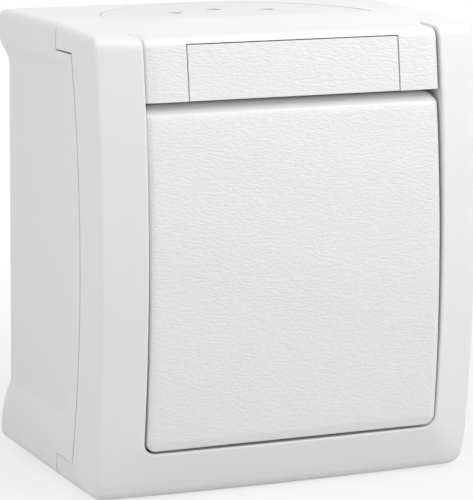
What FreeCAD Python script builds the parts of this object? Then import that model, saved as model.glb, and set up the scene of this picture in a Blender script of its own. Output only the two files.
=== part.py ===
"""Surface-mounted weatherproof light switch with a bowed frame, a grained rocker and a label strip.

Millimetres. X is to the right, Z is up and the front faces -Y. The origin is the centre of the back
face, which lies on the wall. A depth is a distance from the wall towards the front, so Y = -depth.
"""
import FreeCAD
import Part
import math
import os

import Sketcher

SIZES = {
    # case
    "case_width": 66.0,
    "case_height": 74.7,
    "top_corner": 1.5,
    "foot_corner": 2.5,
    # base box
    "base_depth": 25.9,
    "rear_wall": 2.5,
    "side_wall": 2.0,
    "ledge_width": 1.65,
    "gasket_depth": 23.5,
    "gasket_height": 1.5,
    "waist_inset": 1.75,
    "shoulder_height": 3.8,
    "shoulder_run": 5.7,
    "foot_height": 11.0,
    "rim_width": 2.3,
    "rim_ramp": 1.2,
    # split between box and frame
    "split_gap": 0.45,
    "split_depth": 36.65,
    "split_radius": 155.0,
    "split_drop": 0.2,
    "top_tongue": 4.0,
    "bottom_tongue": 4.1,
    # front frame
    "crest_depth": 47.55,
    "bow_radius": 235.0,
    "mouth_width": 52.2,
    "mouth_floor": 8.1,
    "mouth_corner": 2.0,
    "margin_rise": 2.3,
    "top_fall": 1.0,
    "top_round": 3.2,
    "foot_round": 2.4,
    "edge_round": 0.9,
    "frame_wall": 1.8,
    "skirt_wall": 1.4,
    "skirt_gap": 0.25,
    "channel_depth": 40.5,
    "well_depth": 34.6,
    "floor_thickness": 1.6,
    "window_width": 29.0,
    "window_height": 14.0,
    # label strip
    "strip_edge": 10.8,
    "strip_step": 0.4,
    "strip_seat": 42.6,
    "strip_return": 6.0,
    "strip_cap": 1.9,
    "strip_round": 2.2,
    "strip_ledge": 0.9,
    "side_gap": 0.35,
    "label_width": 36.6,
    "label_height": 8.65,
    "label_seat": 43.3,
    "label_gap": 0.2,
    # rocker
    "rocker_crest": 47.4,
    "rocker_head_gap": 1.45,
    "rocker_foot_gap": 0.45,
    "rocker_rear": 38.0,
    "rocker_wall": 1.6,
    "rocker_inside": 44.2,
    "bevel_width": 2.0,
    "bevel_drop": 0.6,
    "lower_bevel_drop": 0.8,
    "rocker_round": 2.0,
    "clip_length": 12.0,
    "clip_height": 2.4,
    "clip_thickness": 1.5,
    "fit_gap": 0.05,
    # rocker bearing
    "pivot_depth": 41.0,
    "rest_tilt": 3.25,
    "trunnion_radius": 1.5,
    "ear_radius": 2.6,
    "ear_thickness": 1.8,
    "ear_span": 22.2,
    "side_play": 0.3,
    # cradle and plunger
    "cradle_length": 28.0,
    "cradle_plate": 1.6,
    "cheek_thickness": 1.5,
    "tube_wall": 1.0,
    "tube_end": 32.0,
    "plunger_radius": 2.3,
    "plunger_length": 9.0,
    "plunger_gap": 0.1,
    "spring_wire": 0.5,
    "spring_turns": 5.0,
    # mechanism
    "mech_width": 36.0,
    "mech_height": 40.0,
    "mech_rear": 14.0,
    "mech_front": 28.0,
    "mech_floor": 2.5,
    "mech_wall": 3.0,
    "cover_thickness": 2.0,
    "cover_height": 30.0,
    "chamber_height": 28.4,
    "slot_width": 7.0,
    "slot_height": 8.4,
    "tab_length": 5.5,
    "tab_height": 8.0,
    "tab_thickness": 2.5,
    # contacts
    "lever_depth": 23.0,
    "lever_ratio": 1.6,
    "lever_width": 5.0,
    "lever_length": 25.0,
    "lever_thickness": 0.8,
    "lever_round": 1.1,
    "contact_offset": 11.0,
    "contact_radius": 1.5,
    "contact_height": 0.8,
    "strip_metal": 1.2,
    "terminal_width": 7.0,
    "terminal_height": 5.0,
    "post_width": 4.0,
    # fasteners
    "terminal_screw": 1.5,
    "terminal_head": 2.3,
    "clamp_thickness": 1.0,
    "screw_radius": 1.5,
    "screw_head": 2.6,
    "head_height": 1.6,
    "boss_radius": 3.0,
    "boss_gap": 0.15,
    "frame_screw_z": 20.0,
    "screw_reach": 8.0,
    "slot_cut": 0.8,
    # cable entries
    "entry_radius": 22.9,
    "entry_recess": 1.2,
    "entry_ledge": 2.5,
    "entry_gap": 0.15,
    "entry_plug": 1.6,
    "mark_radius": 1.25,
    "mark_depth": 0.8,
    "mark_circle": 12.6,
    "mark_angle": 41.5,
    # wall fixing
    "fixing_spacing": 52.0,
    "fixing_radius": 2.2,
    "fixing_length": 8.0,
    # turn of a section about the axis of a bowed face, past both of its ends, and the cut in front of it
    "bow_sweep": 28.0,
    "bow_cut": 10.0,
    # spare length of a cutting tool past the face it opens
    "overrun": 2.0,
}

doc = FreeCAD.newDocument("weatherproof_switch")
sheet = doc.addObject("Spreadsheet::Sheet", "dims")
for row, (alias, number) in enumerate(SIZES.items(), start=1):
    sheet.set(f"A{row}", alias)
    sheet.set(f"B{row}", str(number))
    sheet.setAlias(f"B{row}", alias)
doc.recompute()


class Size:
    """A length that knows its number and the sheet expression that gives it."""

    def __init__(self, number, text):
        self.number = number
        self.text = text

    def __add__(self, other):
        other = as_size(other)
        return Size(self.number + other.number, f"({self.text} + {other.text})")

    def __sub__(self, other):
        other = as_size(other)
        return Size(self.number - other.number, f"({self.text} - {other.text})")

    def __mul__(self, other):
        other = as_size(other)
        return Size(self.number * other.number, f"({self.text} * {other.text})")

    def __truediv__(self, other):
        other = as_size(other)
        return Size(self.number / other.number, f"({self.text} / {other.text})")

    def __neg__(self):
        return Size(-self.number, f"(0 - {self.text})")

    def root(self):
        return Size(math.sqrt(self.number), f"sqrt({self.text})")

    def sine(self):
        return Size(math.sin(math.radians(self.number)), f"sin({self.text} * 1 deg)")

    def cosine(self):
        return Size(math.cos(math.radians(self.number)), f"cos({self.text} * 1 deg)")


def as_size(value):
    return value if isinstance(value, Size) else Size(float(value), repr(float(value)))


def dim(alias):
    return Size(float(sheet.get(alias)), f"dims.{alias}")


HALF_CIRCLE_RISE = 0.001
FULL_TURN = 360.0
SQUARE = 4

# Places that several pieces share
ZERO = as_size(0.0)
HALF_WIDTH = dim("case_width") / 2
TOP = dim("case_height") / 2
BOTTOM = -TOP
WAIST = HALF_WIDTH - dim("waist_inset")
TONGUE_DEPTH = dim("base_depth") + dim("split_gap")
TOP_SPLIT = TOP - dim("top_tongue")
BOTTOM_SPLIT = BOTTOM + dim("bottom_tongue")
SPLIT_CENTRE = dim("split_depth") - dim("split_radius")
BASE_SPLIT_RADIUS = dim("split_radius") - dim("split_gap")
BASE_TOP_SPLIT = TOP_SPLIT - dim("split_gap")
BASE_BOTTOM_SPLIT = BOTTOM_SPLIT + dim("split_gap")
BOX_WIDTH = WAIST - dim("side_wall")
BOX_TOP = BASE_TOP_SPLIT - dim("side_wall")
BOX_BOTTOM = BASE_BOTTOM_SPLIT + dim("side_wall")
CAVITY_WIDTH = BOX_WIDTH - dim("ledge_width")
CAVITY_TOP = BOX_TOP - dim("ledge_width")
CAVITY_BOTTOM = BOX_BOTTOM + dim("ledge_width")
SKIRT_WIDTH = BOX_WIDTH - dim("skirt_gap")
SKIRT_TOP = BOX_TOP - dim("skirt_gap")
SKIRT_BOTTOM = BOX_BOTTOM + dim("skirt_gap")
SKIRT_REAR = dim("gasket_depth") + dim("gasket_height")
FLOOR_REAR = dim("well_depth") - dim("floor_thickness")
BOW_CENTRE = dim("crest_depth") - dim("bow_radius")
MOUTH = dim("mouth_width") / 2
MOUTH_BOTTOM = BOTTOM + dim("mouth_floor")
STRIP_BOTTOM = TOP - dim("strip_edge")
WELL_TOP = STRIP_BOTTOM - dim("strip_ledge")
PLATE_WIDTH = MOUTH - dim("side_gap")
STRIP_RADIUS = dim("bow_radius") - dim("strip_step")
FRONT_LIMIT = dim("crest_depth") + dim("overrun")
FRONT_CORNER = BOW_CENTRE + (dim("bow_radius") * dim("bow_radius") - TOP * TOP).root()
TOP_FRONT = TOP - dim("top_fall")
RETURN_REAR = FRONT_CORNER - dim("strip_return")
PIVOT = dim("pivot_depth")
ROCKER_LOW = MOUTH_BOTTOM + dim("rocker_foot_gap")
ROCKER_HIGH = STRIP_BOTTOM - dim("rocker_head_gap")
PIVOT_Z = (ROCKER_LOW + ROCKER_HIGH) / 2
EAR_INNER = dim("ear_span") / 2
EAR_OUTER = EAR_INNER + dim("ear_thickness")
CRADLE_WIDTH = EAR_INNER - dim("side_play")
CRADLE_REAR = dim("rocker_inside") - dim("cradle_plate")
COVER_FRONT = dim("mech_front") + dim("cover_thickness")
CHAMBER_FLOOR = dim("mech_rear") + dim("mech_floor")
METAL_TOP = CHAMBER_FLOOR + dim("strip_metal")
LEVER_TILT = dim("rest_tilt") * dim("lever_ratio")
FIXING = dim("fixing_spacing") / 2
FRAME_SCREW_X = dim("mech_width") / 2 + dim("boss_radius") + dim("boss_gap")
TERMINAL_Z = (dim("chamber_height") + dim("mech_height")) / 4


def bind(item, prop, size):
    """Drives one property of an object from the sheet."""
    item.setExpression(prop, as_size(size).text)


def new_body(label):
    body = doc.addObject("PartDesign::Body", label)
    body.Label = label
    return body


def new_sketch(body, role, name, shift=(ZERO, ZERO, ZERO)):
    """A sketch on one of the body's own origin planes, moved by shift in the plane's own directions."""
    sketch = body.newObject("Sketcher::SketchObject", f"{body.Name}_{name}")
    plane = next(item for item in body.Origin.OriginFeatures if item.Role == role)
    sketch.AttachmentSupport = [(plane, "")]
    sketch.MapMode = "FlatFace"
    for axis, size in zip("xyz", shift):
        bind(sketch, f"AttachmentOffset.Base.{axis}", size)
    return sketch


def front_sketch(body, name, depth):
    """Sketch in X and Z at a depth from the wall; features grow towards the front."""
    return new_sketch(body, "XZ_Plane", name, (ZERO, ZERO, depth))


def side_sketch(body, name):
    """Sketch in depth and Z on the middle plane; its first coordinate is minus the depth."""
    return new_sketch(body, "YZ_Plane", name)


def ring_sketch(body, name, centre_depth, height):
    """Sketch in X and radius, whose horizontal axis is the axis of a bowed surface."""
    return new_sketch(body, "XY_Plane", name, (ZERO, -centre_depth, height))


def draw(sketch, corners):
    """Draws a closed outline and ties every corner to the sheet.

    A corner is (x, y), or (x, y, radius, turn) when an arc leads to it: turn is 1 for an arc that
    runs anticlockwise and -1 for clockwise. A half circle's centre is level with its ends.
    """
    corners = [tuple(as_size(part) if index < 3 else part for index, part in enumerate(corner))
               for corner in corners]
    ends = []
    for index, corner in enumerate(corners):
        start = FreeCAD.Vector(corners[index - 1][0].number, corners[index - 1][1].number, 0)
        stop = FreeCAD.Vector(corner[0].number, corner[1].number, 0)
        if len(corner) == 2:
            item = sketch.addGeometry(Part.LineSegment(start, stop))
            ends.append(((item, 1), (item, 2)))
            continue
        radius, turn = corner[2], corner[3]
        half = (stop - start) * 0.5
        rise = math.sqrt(max(radius.number ** 2 - half.Length ** 2, 0.0))
        side = FreeCAD.Vector(-half.y, half.x, 0).normalize() * (rise * turn)
        centre = start + half + side
        low, high = (start, stop) if turn > 0 else (stop, start)
        first = math.atan2(low.y - centre.y, low.x - centre.x)
        last = math.atan2(high.y - centre.y, high.x - centre.x)
        circle = Part.Circle(centre, FreeCAD.Vector(0, 0, 1), radius.number)
        item = sketch.addGeometry(Part.ArcOfCircle(circle, first, last))
        if rise > HALF_CIRCLE_RISE:
            number = sketch.addConstraint(Sketcher.Constraint("Radius", item, radius.number))
            bind(sketch, f"Constraints[{number}]", radius)
        else:
            number = sketch.addConstraint(Sketcher.Constraint("DistanceY", -1, 1, item, 3, corner[1].number))
            bind(sketch, f"Constraints[{number}]", corner[1])
        ends.append(((item, 1), (item, 2)) if turn > 0 else ((item, 2), (item, 1)))
    for index, corner in enumerate(corners):
        here = ends[index][1]
        there = ends[(index + 1) % len(ends)][0]
        sketch.addConstraint(Sketcher.Constraint("Coincident", *here, *there))
        for kind, size in (("DistanceX", corner[0]), ("DistanceY", corner[1])):
            number = sketch.addConstraint(Sketcher.Constraint(kind, -1, 1, *here, size.number))
            bind(sketch, f"Constraints[{number}]", size)


def draw_circle(sketch, x, y, radius):
    x, y, radius = as_size(x), as_size(y), as_size(radius)
    centre = FreeCAD.Vector(x.number, y.number, 0)
    item = sketch.addGeometry(Part.Circle(centre, FreeCAD.Vector(0, 0, 1), radius.number))
    for kind, size in (("DistanceX", x), ("DistanceY", y)):
        number = sketch.addConstraint(Sketcher.Constraint(kind, -1, 1, item, 3, size.number))
        bind(sketch, f"Constraints[{number}]", size)
    number = sketch.addConstraint(Sketcher.Constraint("Radius", item, radius.number))
    bind(sketch, f"Constraints[{number}]", radius)


def rectangle(left, right, low, high):
    return [(left, low), (right, low), (right, high), (left, high)]


def slot_outline(x, z, radius, length):
    """Upright slot with round ends."""
    reach = length / 2 - radius
    return [
        (x + radius, z - reach, radius, 1),
        (x + radius, z + reach),
        (x - radius, z + reach, radius, 1),
        (x - radius, z - reach),
    ]


def feature(body, kind, sketch, length, symmetric=False, reverse=False):
    item = body.newObject(f"PartDesign::{kind}", f"{sketch.Name}_{kind.lower()}")
    item.Profile = sketch
    bind(item, "Length", length)
    if symmetric:
        item.SideType = "Symmetric"
    item.Reversed = reverse
    return item


def pad(body, sketch, length):
    return feature(body, "Pad", sketch, length)


def pocket_forward(body, sketch, length):
    """Removes material from the sketch towards the front."""
    return feature(body, "Pocket", sketch, length, reverse=True)


def pocket_across(body, sketch):
    """Removes a side profile right through the piece."""
    return feature(body, "Pocket", sketch, dim("case_width") * 2, symmetric=True)


def turn_about_bow(body, kind, sketch):
    """Adds or removes a section turned a little each way about the axis of a bowed surface."""
    item = body.newObject(f"PartDesign::{kind}", f"{sketch.Name}_{kind.lower()}")
    item.Profile = sketch
    item.ReferenceAxis = (sketch, ["H_Axis"])
    bind(item, "Angle", dim("bow_sweep"))
    item.Midplane = True
    return item


def bowed_front(body, name, centre_depth, height, radius, half_width, slope_width, slope_drop):
    """Cuts a bowed front with a flat middle and sloping sides."""
    sketch = ring_sketch(body, name, centre_depth, height)
    spare = dim("overrun")
    edge = radius - slope_drop * (slope_width + spare) / slope_width
    outside = radius + dim("bow_cut")
    draw(sketch, [
        (-half_width - spare, -outside),
        (half_width + spare, -outside),
        (half_width + spare, -edge),
        (half_width - slope_width, -radius),
        (slope_width - half_width, -radius),
        (-half_width - spare, -edge),
    ])
    return turn_about_bow(body, "Groove", sketch)


def depth_on_bow(radius, centre_depth, height):
    """Depth of a bowed surface at a height above the middle of its bow."""
    return centre_depth + (radius * radius - height * height).root()


def round_edges(body, name, radius, chosen):
    """Rounds the edges of the body's last shape that the test picks."""
    doc.recompute()
    last = body.Tip
    names = [f"Edge{index}" for index, edge in enumerate(last.Shape.Edges, start=1) if chosen(edge)]
    if not names:
        raise RuntimeError(f"no edge to round for {name}")
    item = body.newObject("PartDesign::Fillet", f"{body.Name}_{name}")
    item.Base = (last, names)
    bind(item, "Radius", radius)
    return item


def middle(edge):
    return edge.valueAt((edge.FirstParameter + edge.LastParameter) / 2)


def near(value, size, slack=0.02):
    return abs(value - as_size(size).number) < slack


def tilt(item, height_depth, angle):
    """Turns a finished piece about an axis along X at the pivot height."""
    centre = FreeCAD.Vector(0, -as_size(height_depth).number, PIVOT_Z.number)
    turn = FreeCAD.Rotation(FreeCAD.Vector(1, 0, 0), as_size(angle).number)
    item.Placement = FreeCAD.Placement(FreeCAD.Vector(), turn, centre)


def block(name, x, z, depth):
    """Part::Box between two X, two Z and two depth values."""
    item = doc.addObject("Part::Box", name)
    bind(item, "Length", as_size(x[1]) - x[0])
    bind(item, "Width", as_size(depth[1]) - depth[0])
    bind(item, "Height", as_size(z[1]) - z[0])
    bind(item, "Placement.Base.x", x[0])
    bind(item, "Placement.Base.y", -as_size(depth[1]))
    bind(item, "Placement.Base.z", z[0])
    return item


def rod_forward(name, x, z, depth, radius):
    """Cylinder along the depth, between two depth values."""
    item = doc.addObject("Part::Cylinder", name)
    item.Placement.Rotation = FreeCAD.Rotation(FreeCAD.Vector(1, 0, 0), 90)
    bind(item, "Radius", radius)
    bind(item, "Height", as_size(depth[1]) - depth[0])
    bind(item, "Placement.Base.x", x)
    bind(item, "Placement.Base.y", -as_size(depth[0]))
    bind(item, "Placement.Base.z", z)
    return item


def rod_across(name, x, z, depth, radius):
    """Cylinder along X, between two X values."""
    item = doc.addObject("Part::Cylinder", name)
    item.Placement.Rotation = FreeCAD.Rotation(FreeCAD.Vector(0, 1, 0), 90)
    bind(item, "Radius", radius)
    bind(item, "Height", as_size(x[1]) - x[0])
    bind(item, "Placement.Base.x", x[0])
    bind(item, "Placement.Base.y", -as_size(depth))
    bind(item, "Placement.Base.z", z)
    return item


def joined(name, pieces):
    item = doc.addObject("Part::MultiFuse", name)
    item.Shapes = pieces
    item.Refine = True
    return item


def cut(name, base, tools):
    tool = tools[0] if len(tools) == 1 else joined(f"{name}_tools", tools)
    item = doc.addObject("Part::Cut", name)
    item.Base = base
    item.Tool = tool
    item.Refine = True
    return item


def group(name, pieces):
    item = doc.addObject("Part::Compound", name)
    item.Links = pieces
    return item


def make_base_box():
    body = new_body("base_box")
    sketch = front_sketch(body, "outline", ZERO)
    shoulder = TOP - dim("shoulder_height")
    half_run = dim("shoulder_run") / 2
    half_inset = dim("waist_inset") / 2
    curve = (half_run * half_run + half_inset * half_inset) / (half_inset * 2)
    knee = shoulder - half_run
    waist_top = shoulder - dim("shoulder_run")
    foot_top = BOTTOM + dim("foot_height")
    foot_turn = BOTTOM + dim("foot_corner")
    flare_run = foot_top - foot_turn
    flare = (flare_run * flare_run + dim("waist_inset") * dim("waist_inset")) / (dim("waist_inset") * 2)
    corner, foot = dim("top_corner"), dim("foot_corner")
    draw(sketch, [
        (foot - HALF_WIDTH, BOTTOM, foot, 1),
        (HALF_WIDTH - foot, BOTTOM),
        (HALF_WIDTH, foot_turn, foot, 1),
        (WAIST, foot_top, flare, 1),
        (WAIST, waist_top),
        (WAIST + half_inset, knee, curve, -1),
        (HALF_WIDTH, shoulder, curve, 1),
        (HALF_WIDTH, TOP - corner),
        (HALF_WIDTH - corner, TOP, corner, 1),
        (corner - HALF_WIDTH, TOP),
        (-HALF_WIDTH, TOP - corner, corner, 1),
        (-HALF_WIDTH, shoulder),
        (-WAIST - half_inset, knee, curve, 1),
        (-WAIST, waist_top, curve, -1),
        (-WAIST, foot_top),
        (-HALF_WIDTH, foot_turn, flare, 1),
    ])
    pad(body, sketch, dim("split_depth"))

    rim = ring_sketch(body, "rim", SPLIT_CENTRE, -dim("split_drop"))
    rim_rear = BASE_SPLIT_RADIUS - dim("rim_width")
    ramp_rear = rim_rear - dim("rim_ramp")
    rim_front = BASE_SPLIT_RADIUS + dim("overrun")
    draw(rim, [
        (-HALF_WIDTH, -rim_front),
        (HALF_WIDTH, -rim_front),
        (HALF_WIDTH, -rim_rear),
        (WAIST, -ramp_rear),
        (-WAIST, -ramp_rear),
        (-HALF_WIDTH, -rim_rear),
    ])
    turn_about_bow(body, "Revolution", rim)

    trim = side_sketch(body, "trim")
    far = FRONT_LIMIT + dim("overrun")
    above = dim("case_height")
    top_end = depth_on_bow(BASE_SPLIT_RADIUS, SPLIT_CENTRE, BASE_TOP_SPLIT + dim("split_drop"))
    low_end = depth_on_bow(BASE_SPLIT_RADIUS, SPLIT_CENTRE, BASE_BOTTOM_SPLIT + dim("split_drop"))
    draw(trim, [
        (-far, -above),
        (-dim("base_depth"), -above),
        (-dim("base_depth"), BASE_BOTTOM_SPLIT),
        (-low_end, BASE_BOTTOM_SPLIT),
        (-top_end, BASE_TOP_SPLIT, BASE_SPLIT_RADIUS, -1),
        (-dim("base_depth"), BASE_TOP_SPLIT),
        (-dim("base_depth"), above),
        (-far, above),
    ])
    pocket_across(body, trim)

    ledge = front_sketch(body, "ledge", dim("gasket_depth"))
    draw(ledge, rectangle(-BOX_WIDTH, BOX_WIDTH, BOX_BOTTOM, BOX_TOP))
    pocket_forward(body, ledge, FRONT_LIMIT)
    cavity = front_sketch(body, "cavity", dim("rear_wall"))
    draw(cavity, rectangle(-CAVITY_WIDTH, CAVITY_WIDTH, CAVITY_BOTTOM, CAVITY_TOP))
    pocket_forward(body, cavity, FRONT_LIMIT)

    for side, name in ((1, "upper"), (-1, "lower")):
        half_disc(body, f"{name}_seat", side, dim("entry_radius"), TOP - dim("entry_recess"), TOP)
        half_disc(body, f"{name}_way", side, dim("entry_radius") - dim("entry_ledge"),
                  CAVITY_TOP - dim("overrun"), TOP)

    mech_boss = dim("mech_width") / 2 + dim("tab_length") / 2
    for side, name in ((-1, "left"), (1, "right")):
        boss(body, f"mech_{name}", mech_boss * side, PIVOT_Z, dim("mech_rear"))
        boss(body, f"frame_{name}", FRAME_SCREW_X * side,
             PIVOT_Z - dim("frame_screw_z") * side, FLOOR_REAR)

    for side, name in ((1, "upper"), (-1, "lower")):
        slot = front_sketch(body, f"fixing_{name}", ZERO)
        draw(slot, slot_outline(ZERO, FIXING * side, dim("fixing_radius"), dim("fixing_length")))
        pocket_forward(body, slot, dim("rear_wall") + dim("overrun"))
    return body


def half_disc(body, name, side, radius, low, high):
    """Cuts a half-round cable entry, open to the split, into the top (side 1) or the bottom (side -1)."""
    sketch = new_sketch(body, "XY_Plane", name, (ZERO, ZERO, low * side))
    front = dim("base_depth")
    draw(sketch, half_disc_outline(radius, front, dim("overrun")))
    return feature(body, "Pocket", sketch, high - low + dim("overrun"), reverse=side > 0)


def half_disc_outline(radius, front, lip):
    """Half disc about the split line, drawn out past it by a lip."""
    return [
        (radius, -front),
        (-radius, -front, radius, 1),
        (-radius, -front - lip),
        (radius, -front - lip),
    ]


def boss(body, name, x, z, front):
    """Screw boss on the rear wall with a pilot hole."""
    post = front_sketch(body, f"{name}_boss", dim("rear_wall") / 2)
    draw_circle(post, x, z, dim("boss_radius"))
    pad(body, post, front - dim("rear_wall") / 2)
    hole = front_sketch(body, f"{name}_pilot", front - dim("screw_reach"))
    draw_circle(hole, x, z, dim("screw_radius") + dim("fit_gap"))
    pocket_forward(body, hole, dim("screw_reach") + dim("overrun"))


def make_frame_block():
    """Outer form of the frame: bowed front, sloping margins, falling top and the notch of the strip."""
    body = new_body("frame_block")
    outline = front_sketch(body, "outline", TONGUE_DEPTH)
    draw(outline, rectangle(-HALF_WIDTH, HALF_WIDTH, BOTTOM, TOP))
    pad(body, outline, FRONT_LIMIT - TONGUE_DEPTH)
    bowed_front(body, "front", BOW_CENTRE, ZERO, dim("bow_radius"), HALF_WIDTH,
                HALF_WIDTH - MOUTH, dim("margin_rise"))

    slope = side_sketch(body, "lower_margin")
    mouth_edge = depth_on_bow(dim("bow_radius"), BOW_CENTRE, MOUTH_BOTTOM)
    lower_edge = FRONT_CORNER - dim("margin_rise")
    below = BOTTOM - dim("overrun")
    fall = mouth_edge - lower_edge
    slant = (fall * fall + dim("mouth_floor") * dim("mouth_floor")).root()
    tangent = dim("foot_round") * (slant - fall) / dim("mouth_floor")
    draw(slope, [
        (-mouth_edge, MOUTH_BOTTOM),
        (-FRONT_LIMIT, MOUTH_BOTTOM),
        (-FRONT_LIMIT, below),
        (tangent - lower_edge, below),
        (tangent - lower_edge, BOTTOM),
        (-lower_edge - tangent * fall / slant, BOTTOM + tangent * dim("mouth_floor") / slant,
         dim("foot_round"), -1),
    ])
    pocket_across(body, slope)
    sloped_top(body)

    above = TOP + dim("overrun")
    strip = front_sketch(body, "strip_seat", dim("strip_seat"))
    draw(strip, rectangle(-MOUTH, MOUTH, WELL_TOP - dim("overrun"), above))
    pocket_forward(body, strip, FRONT_LIMIT)
    cap = front_sketch(body, "strip_cap", RETURN_REAR - dim("label_gap"))
    draw(cap, rectangle(-MOUTH, MOUTH, TOP_FRONT - dim("strip_cap"), above))
    pocket_forward(body, cap, FRONT_LIMIT)

    def is_top_front(edge):
        point = middle(edge)
        high = point.z > TOP_FRONT.number - dim("top_fall").number
        forward = -point.y > dim("strip_seat").number
        on_margin = MOUTH.number < abs(point.x) < HALF_WIDTH.number
        return high and forward and on_margin and edge.Length > (HALF_WIDTH - MOUTH).number / 2

    round_edges(body, "top_front", dim("top_round"), is_top_front)
    doc.recompute()
    return body


def round_frame_sides(block_body):
    """Rounds the side edges: broad along the top and crisp down the front."""
    broad = dim("top_corner").number
    crisp = dim("edge_round").number
    chosen = []
    for index, edge in enumerate(block_body.Shape.Edges, start=1):
        point = middle(edge)
        if not near(abs(point.x), HALF_WIDTH) or near(-point.y, TONGUE_DEPTH):
            continue
        first = edge.valueAt(edge.FirstParameter)
        last = edge.valueAt(edge.LastParameter)
        if abs(first.z - last.z) > MOUTH.number:
            chosen.append((index, crisp, crisp))
        elif point.z > STRIP_BOTTOM.number and abs(first.y - last.y) > dim("strip_return").number:
            chosen.append((index, broad, broad))
        elif point.z > STRIP_BOTTOM.number:
            chosen.append((index, broad, crisp) if first.z > last.z else (index, crisp, broad))
    rounded = doc.addObject("Part::Fillet", "frame_edges")
    rounded.Base = block_body
    rounded.Edges = chosen
    doc.recompute()
    return rounded


def round_corner(body, name, across, edge, upward, radius):
    """Rounds one upright corner along its whole depth; upward is 1 at a top edge and -1 at a bottom edge."""
    sketch = front_sketch(body, name, TONGUE_DEPTH - dim("overrun"))
    side = 1 if across.number > 0 else -1
    outside = across + dim("overrun") * side
    beyond = edge + dim("overrun") * upward
    inward = across - radius * side
    start = edge - radius * upward
    draw(sketch, [
        (inward, edge),
        (across, start, radius, -side * upward),
        (outside, start),
        (outside, beyond),
        (inward, beyond),
    ])
    pocket_forward(body, sketch, FRONT_LIMIT)


def make_front_frame():
    body = new_body("front_frame")
    body.BaseFeature = round_frame_sides(make_frame_block())
    for side, name in ((-1, "left"), (1, "right")):
        round_corner(body, f"foot_{name}", HALF_WIDTH * side, BOTTOM, -1, dim("foot_corner"))

    split = side_sketch(body, "split")
    behind = TONGUE_DEPTH - dim("overrun")
    top_end = depth_on_bow(dim("split_radius"), SPLIT_CENTRE, TOP_SPLIT + dim("split_drop"))
    low_end = depth_on_bow(dim("split_radius"), SPLIT_CENTRE, BOTTOM_SPLIT + dim("split_drop"))
    draw(split, [
        (-behind, TOP_SPLIT),
        (-top_end, TOP_SPLIT),
        (-low_end, BOTTOM_SPLIT, dim("split_radius"), 1),
        (-behind, BOTTOM_SPLIT),
    ])
    pocket_across(body, split)

    channel = front_sketch(body, "channel", SKIRT_REAR)
    wall = HALF_WIDTH - dim("frame_wall")
    draw(channel, rectangle(-wall, wall, BOTTOM_SPLIT, TOP_SPLIT))
    draw(channel, rectangle(-SKIRT_WIDTH, SKIRT_WIDTH, SKIRT_BOTTOM, SKIRT_TOP))
    pocket_forward(body, channel, dim("channel_depth") - SKIRT_REAR)

    skirt = front_sketch(body, "skirt", SKIRT_REAR)
    inside = dim("skirt_wall")
    draw(skirt, rectangle(-SKIRT_WIDTH, SKIRT_WIDTH, SKIRT_BOTTOM, SKIRT_TOP))
    draw(skirt, rectangle(inside - SKIRT_WIDTH, SKIRT_WIDTH - inside,
                          SKIRT_BOTTOM + inside, SKIRT_TOP - inside))
    pad(body, skirt, dim("well_depth") - SKIRT_REAR)
    well = front_sketch(body, "well", FLOOR_REAR)
    draw(well, rectangle(-SKIRT_WIDTH, SKIRT_WIDTH, SKIRT_BOTTOM, SKIRT_TOP))
    pad(body, well, dim("channel_depth") - FLOOR_REAR)

    mouth = front_sketch(body, "mouth", dim("well_depth"))
    corner = dim("mouth_corner")
    draw(mouth, [
        (corner - MOUTH, MOUTH_BOTTOM, corner, 1),
        (MOUTH - corner, MOUTH_BOTTOM),
        (MOUTH, MOUTH_BOTTOM + corner, corner, 1),
        (MOUTH, WELL_TOP),
        (-MOUTH, WELL_TOP),
        (-MOUTH, MOUTH_BOTTOM + corner),
    ])
    pocket_forward(body, mouth, FRONT_LIMIT)

    window = front_sketch(body, "window", FLOOR_REAR - dim("overrun"))
    draw(window, rectangle(-dim("window_width") / 2, dim("window_width") / 2,
                           PIVOT_Z - dim("window_height") / 2, PIVOT_Z + dim("window_height") / 2))
    pocket_forward(body, window, dim("floor_thickness") + dim("overrun") * 2)
    for side, name in ((-1, "left"), (1, "right")):
        hole = front_sketch(body, f"screw_{name}", FLOOR_REAR - dim("overrun"))
        draw_circle(hole, FRAME_SCREW_X * side, PIVOT_Z - dim("frame_screw_z") * side,
                    dim("screw_radius") + dim("fit_gap"))
        pocket_forward(body, hole, dim("floor_thickness") + dim("overrun") * 2)
    return body


def sloped_top(body):
    """Cuts the top, which falls a little towards the front."""
    sketch = side_sketch(body, "top_slope")
    above = TOP + dim("overrun")
    run = FRONT_CORNER - TONGUE_DEPTH
    tail = TOP_FRONT - dim("top_fall") / run * (FRONT_LIMIT - FRONT_CORNER)
    draw(sketch, [
        (-TONGUE_DEPTH, TOP),
        (-TONGUE_DEPTH, above),
        (-FRONT_LIMIT, above),
        (-FRONT_LIMIT, tail),
    ])
    return pocket_across(body, sketch)


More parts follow.
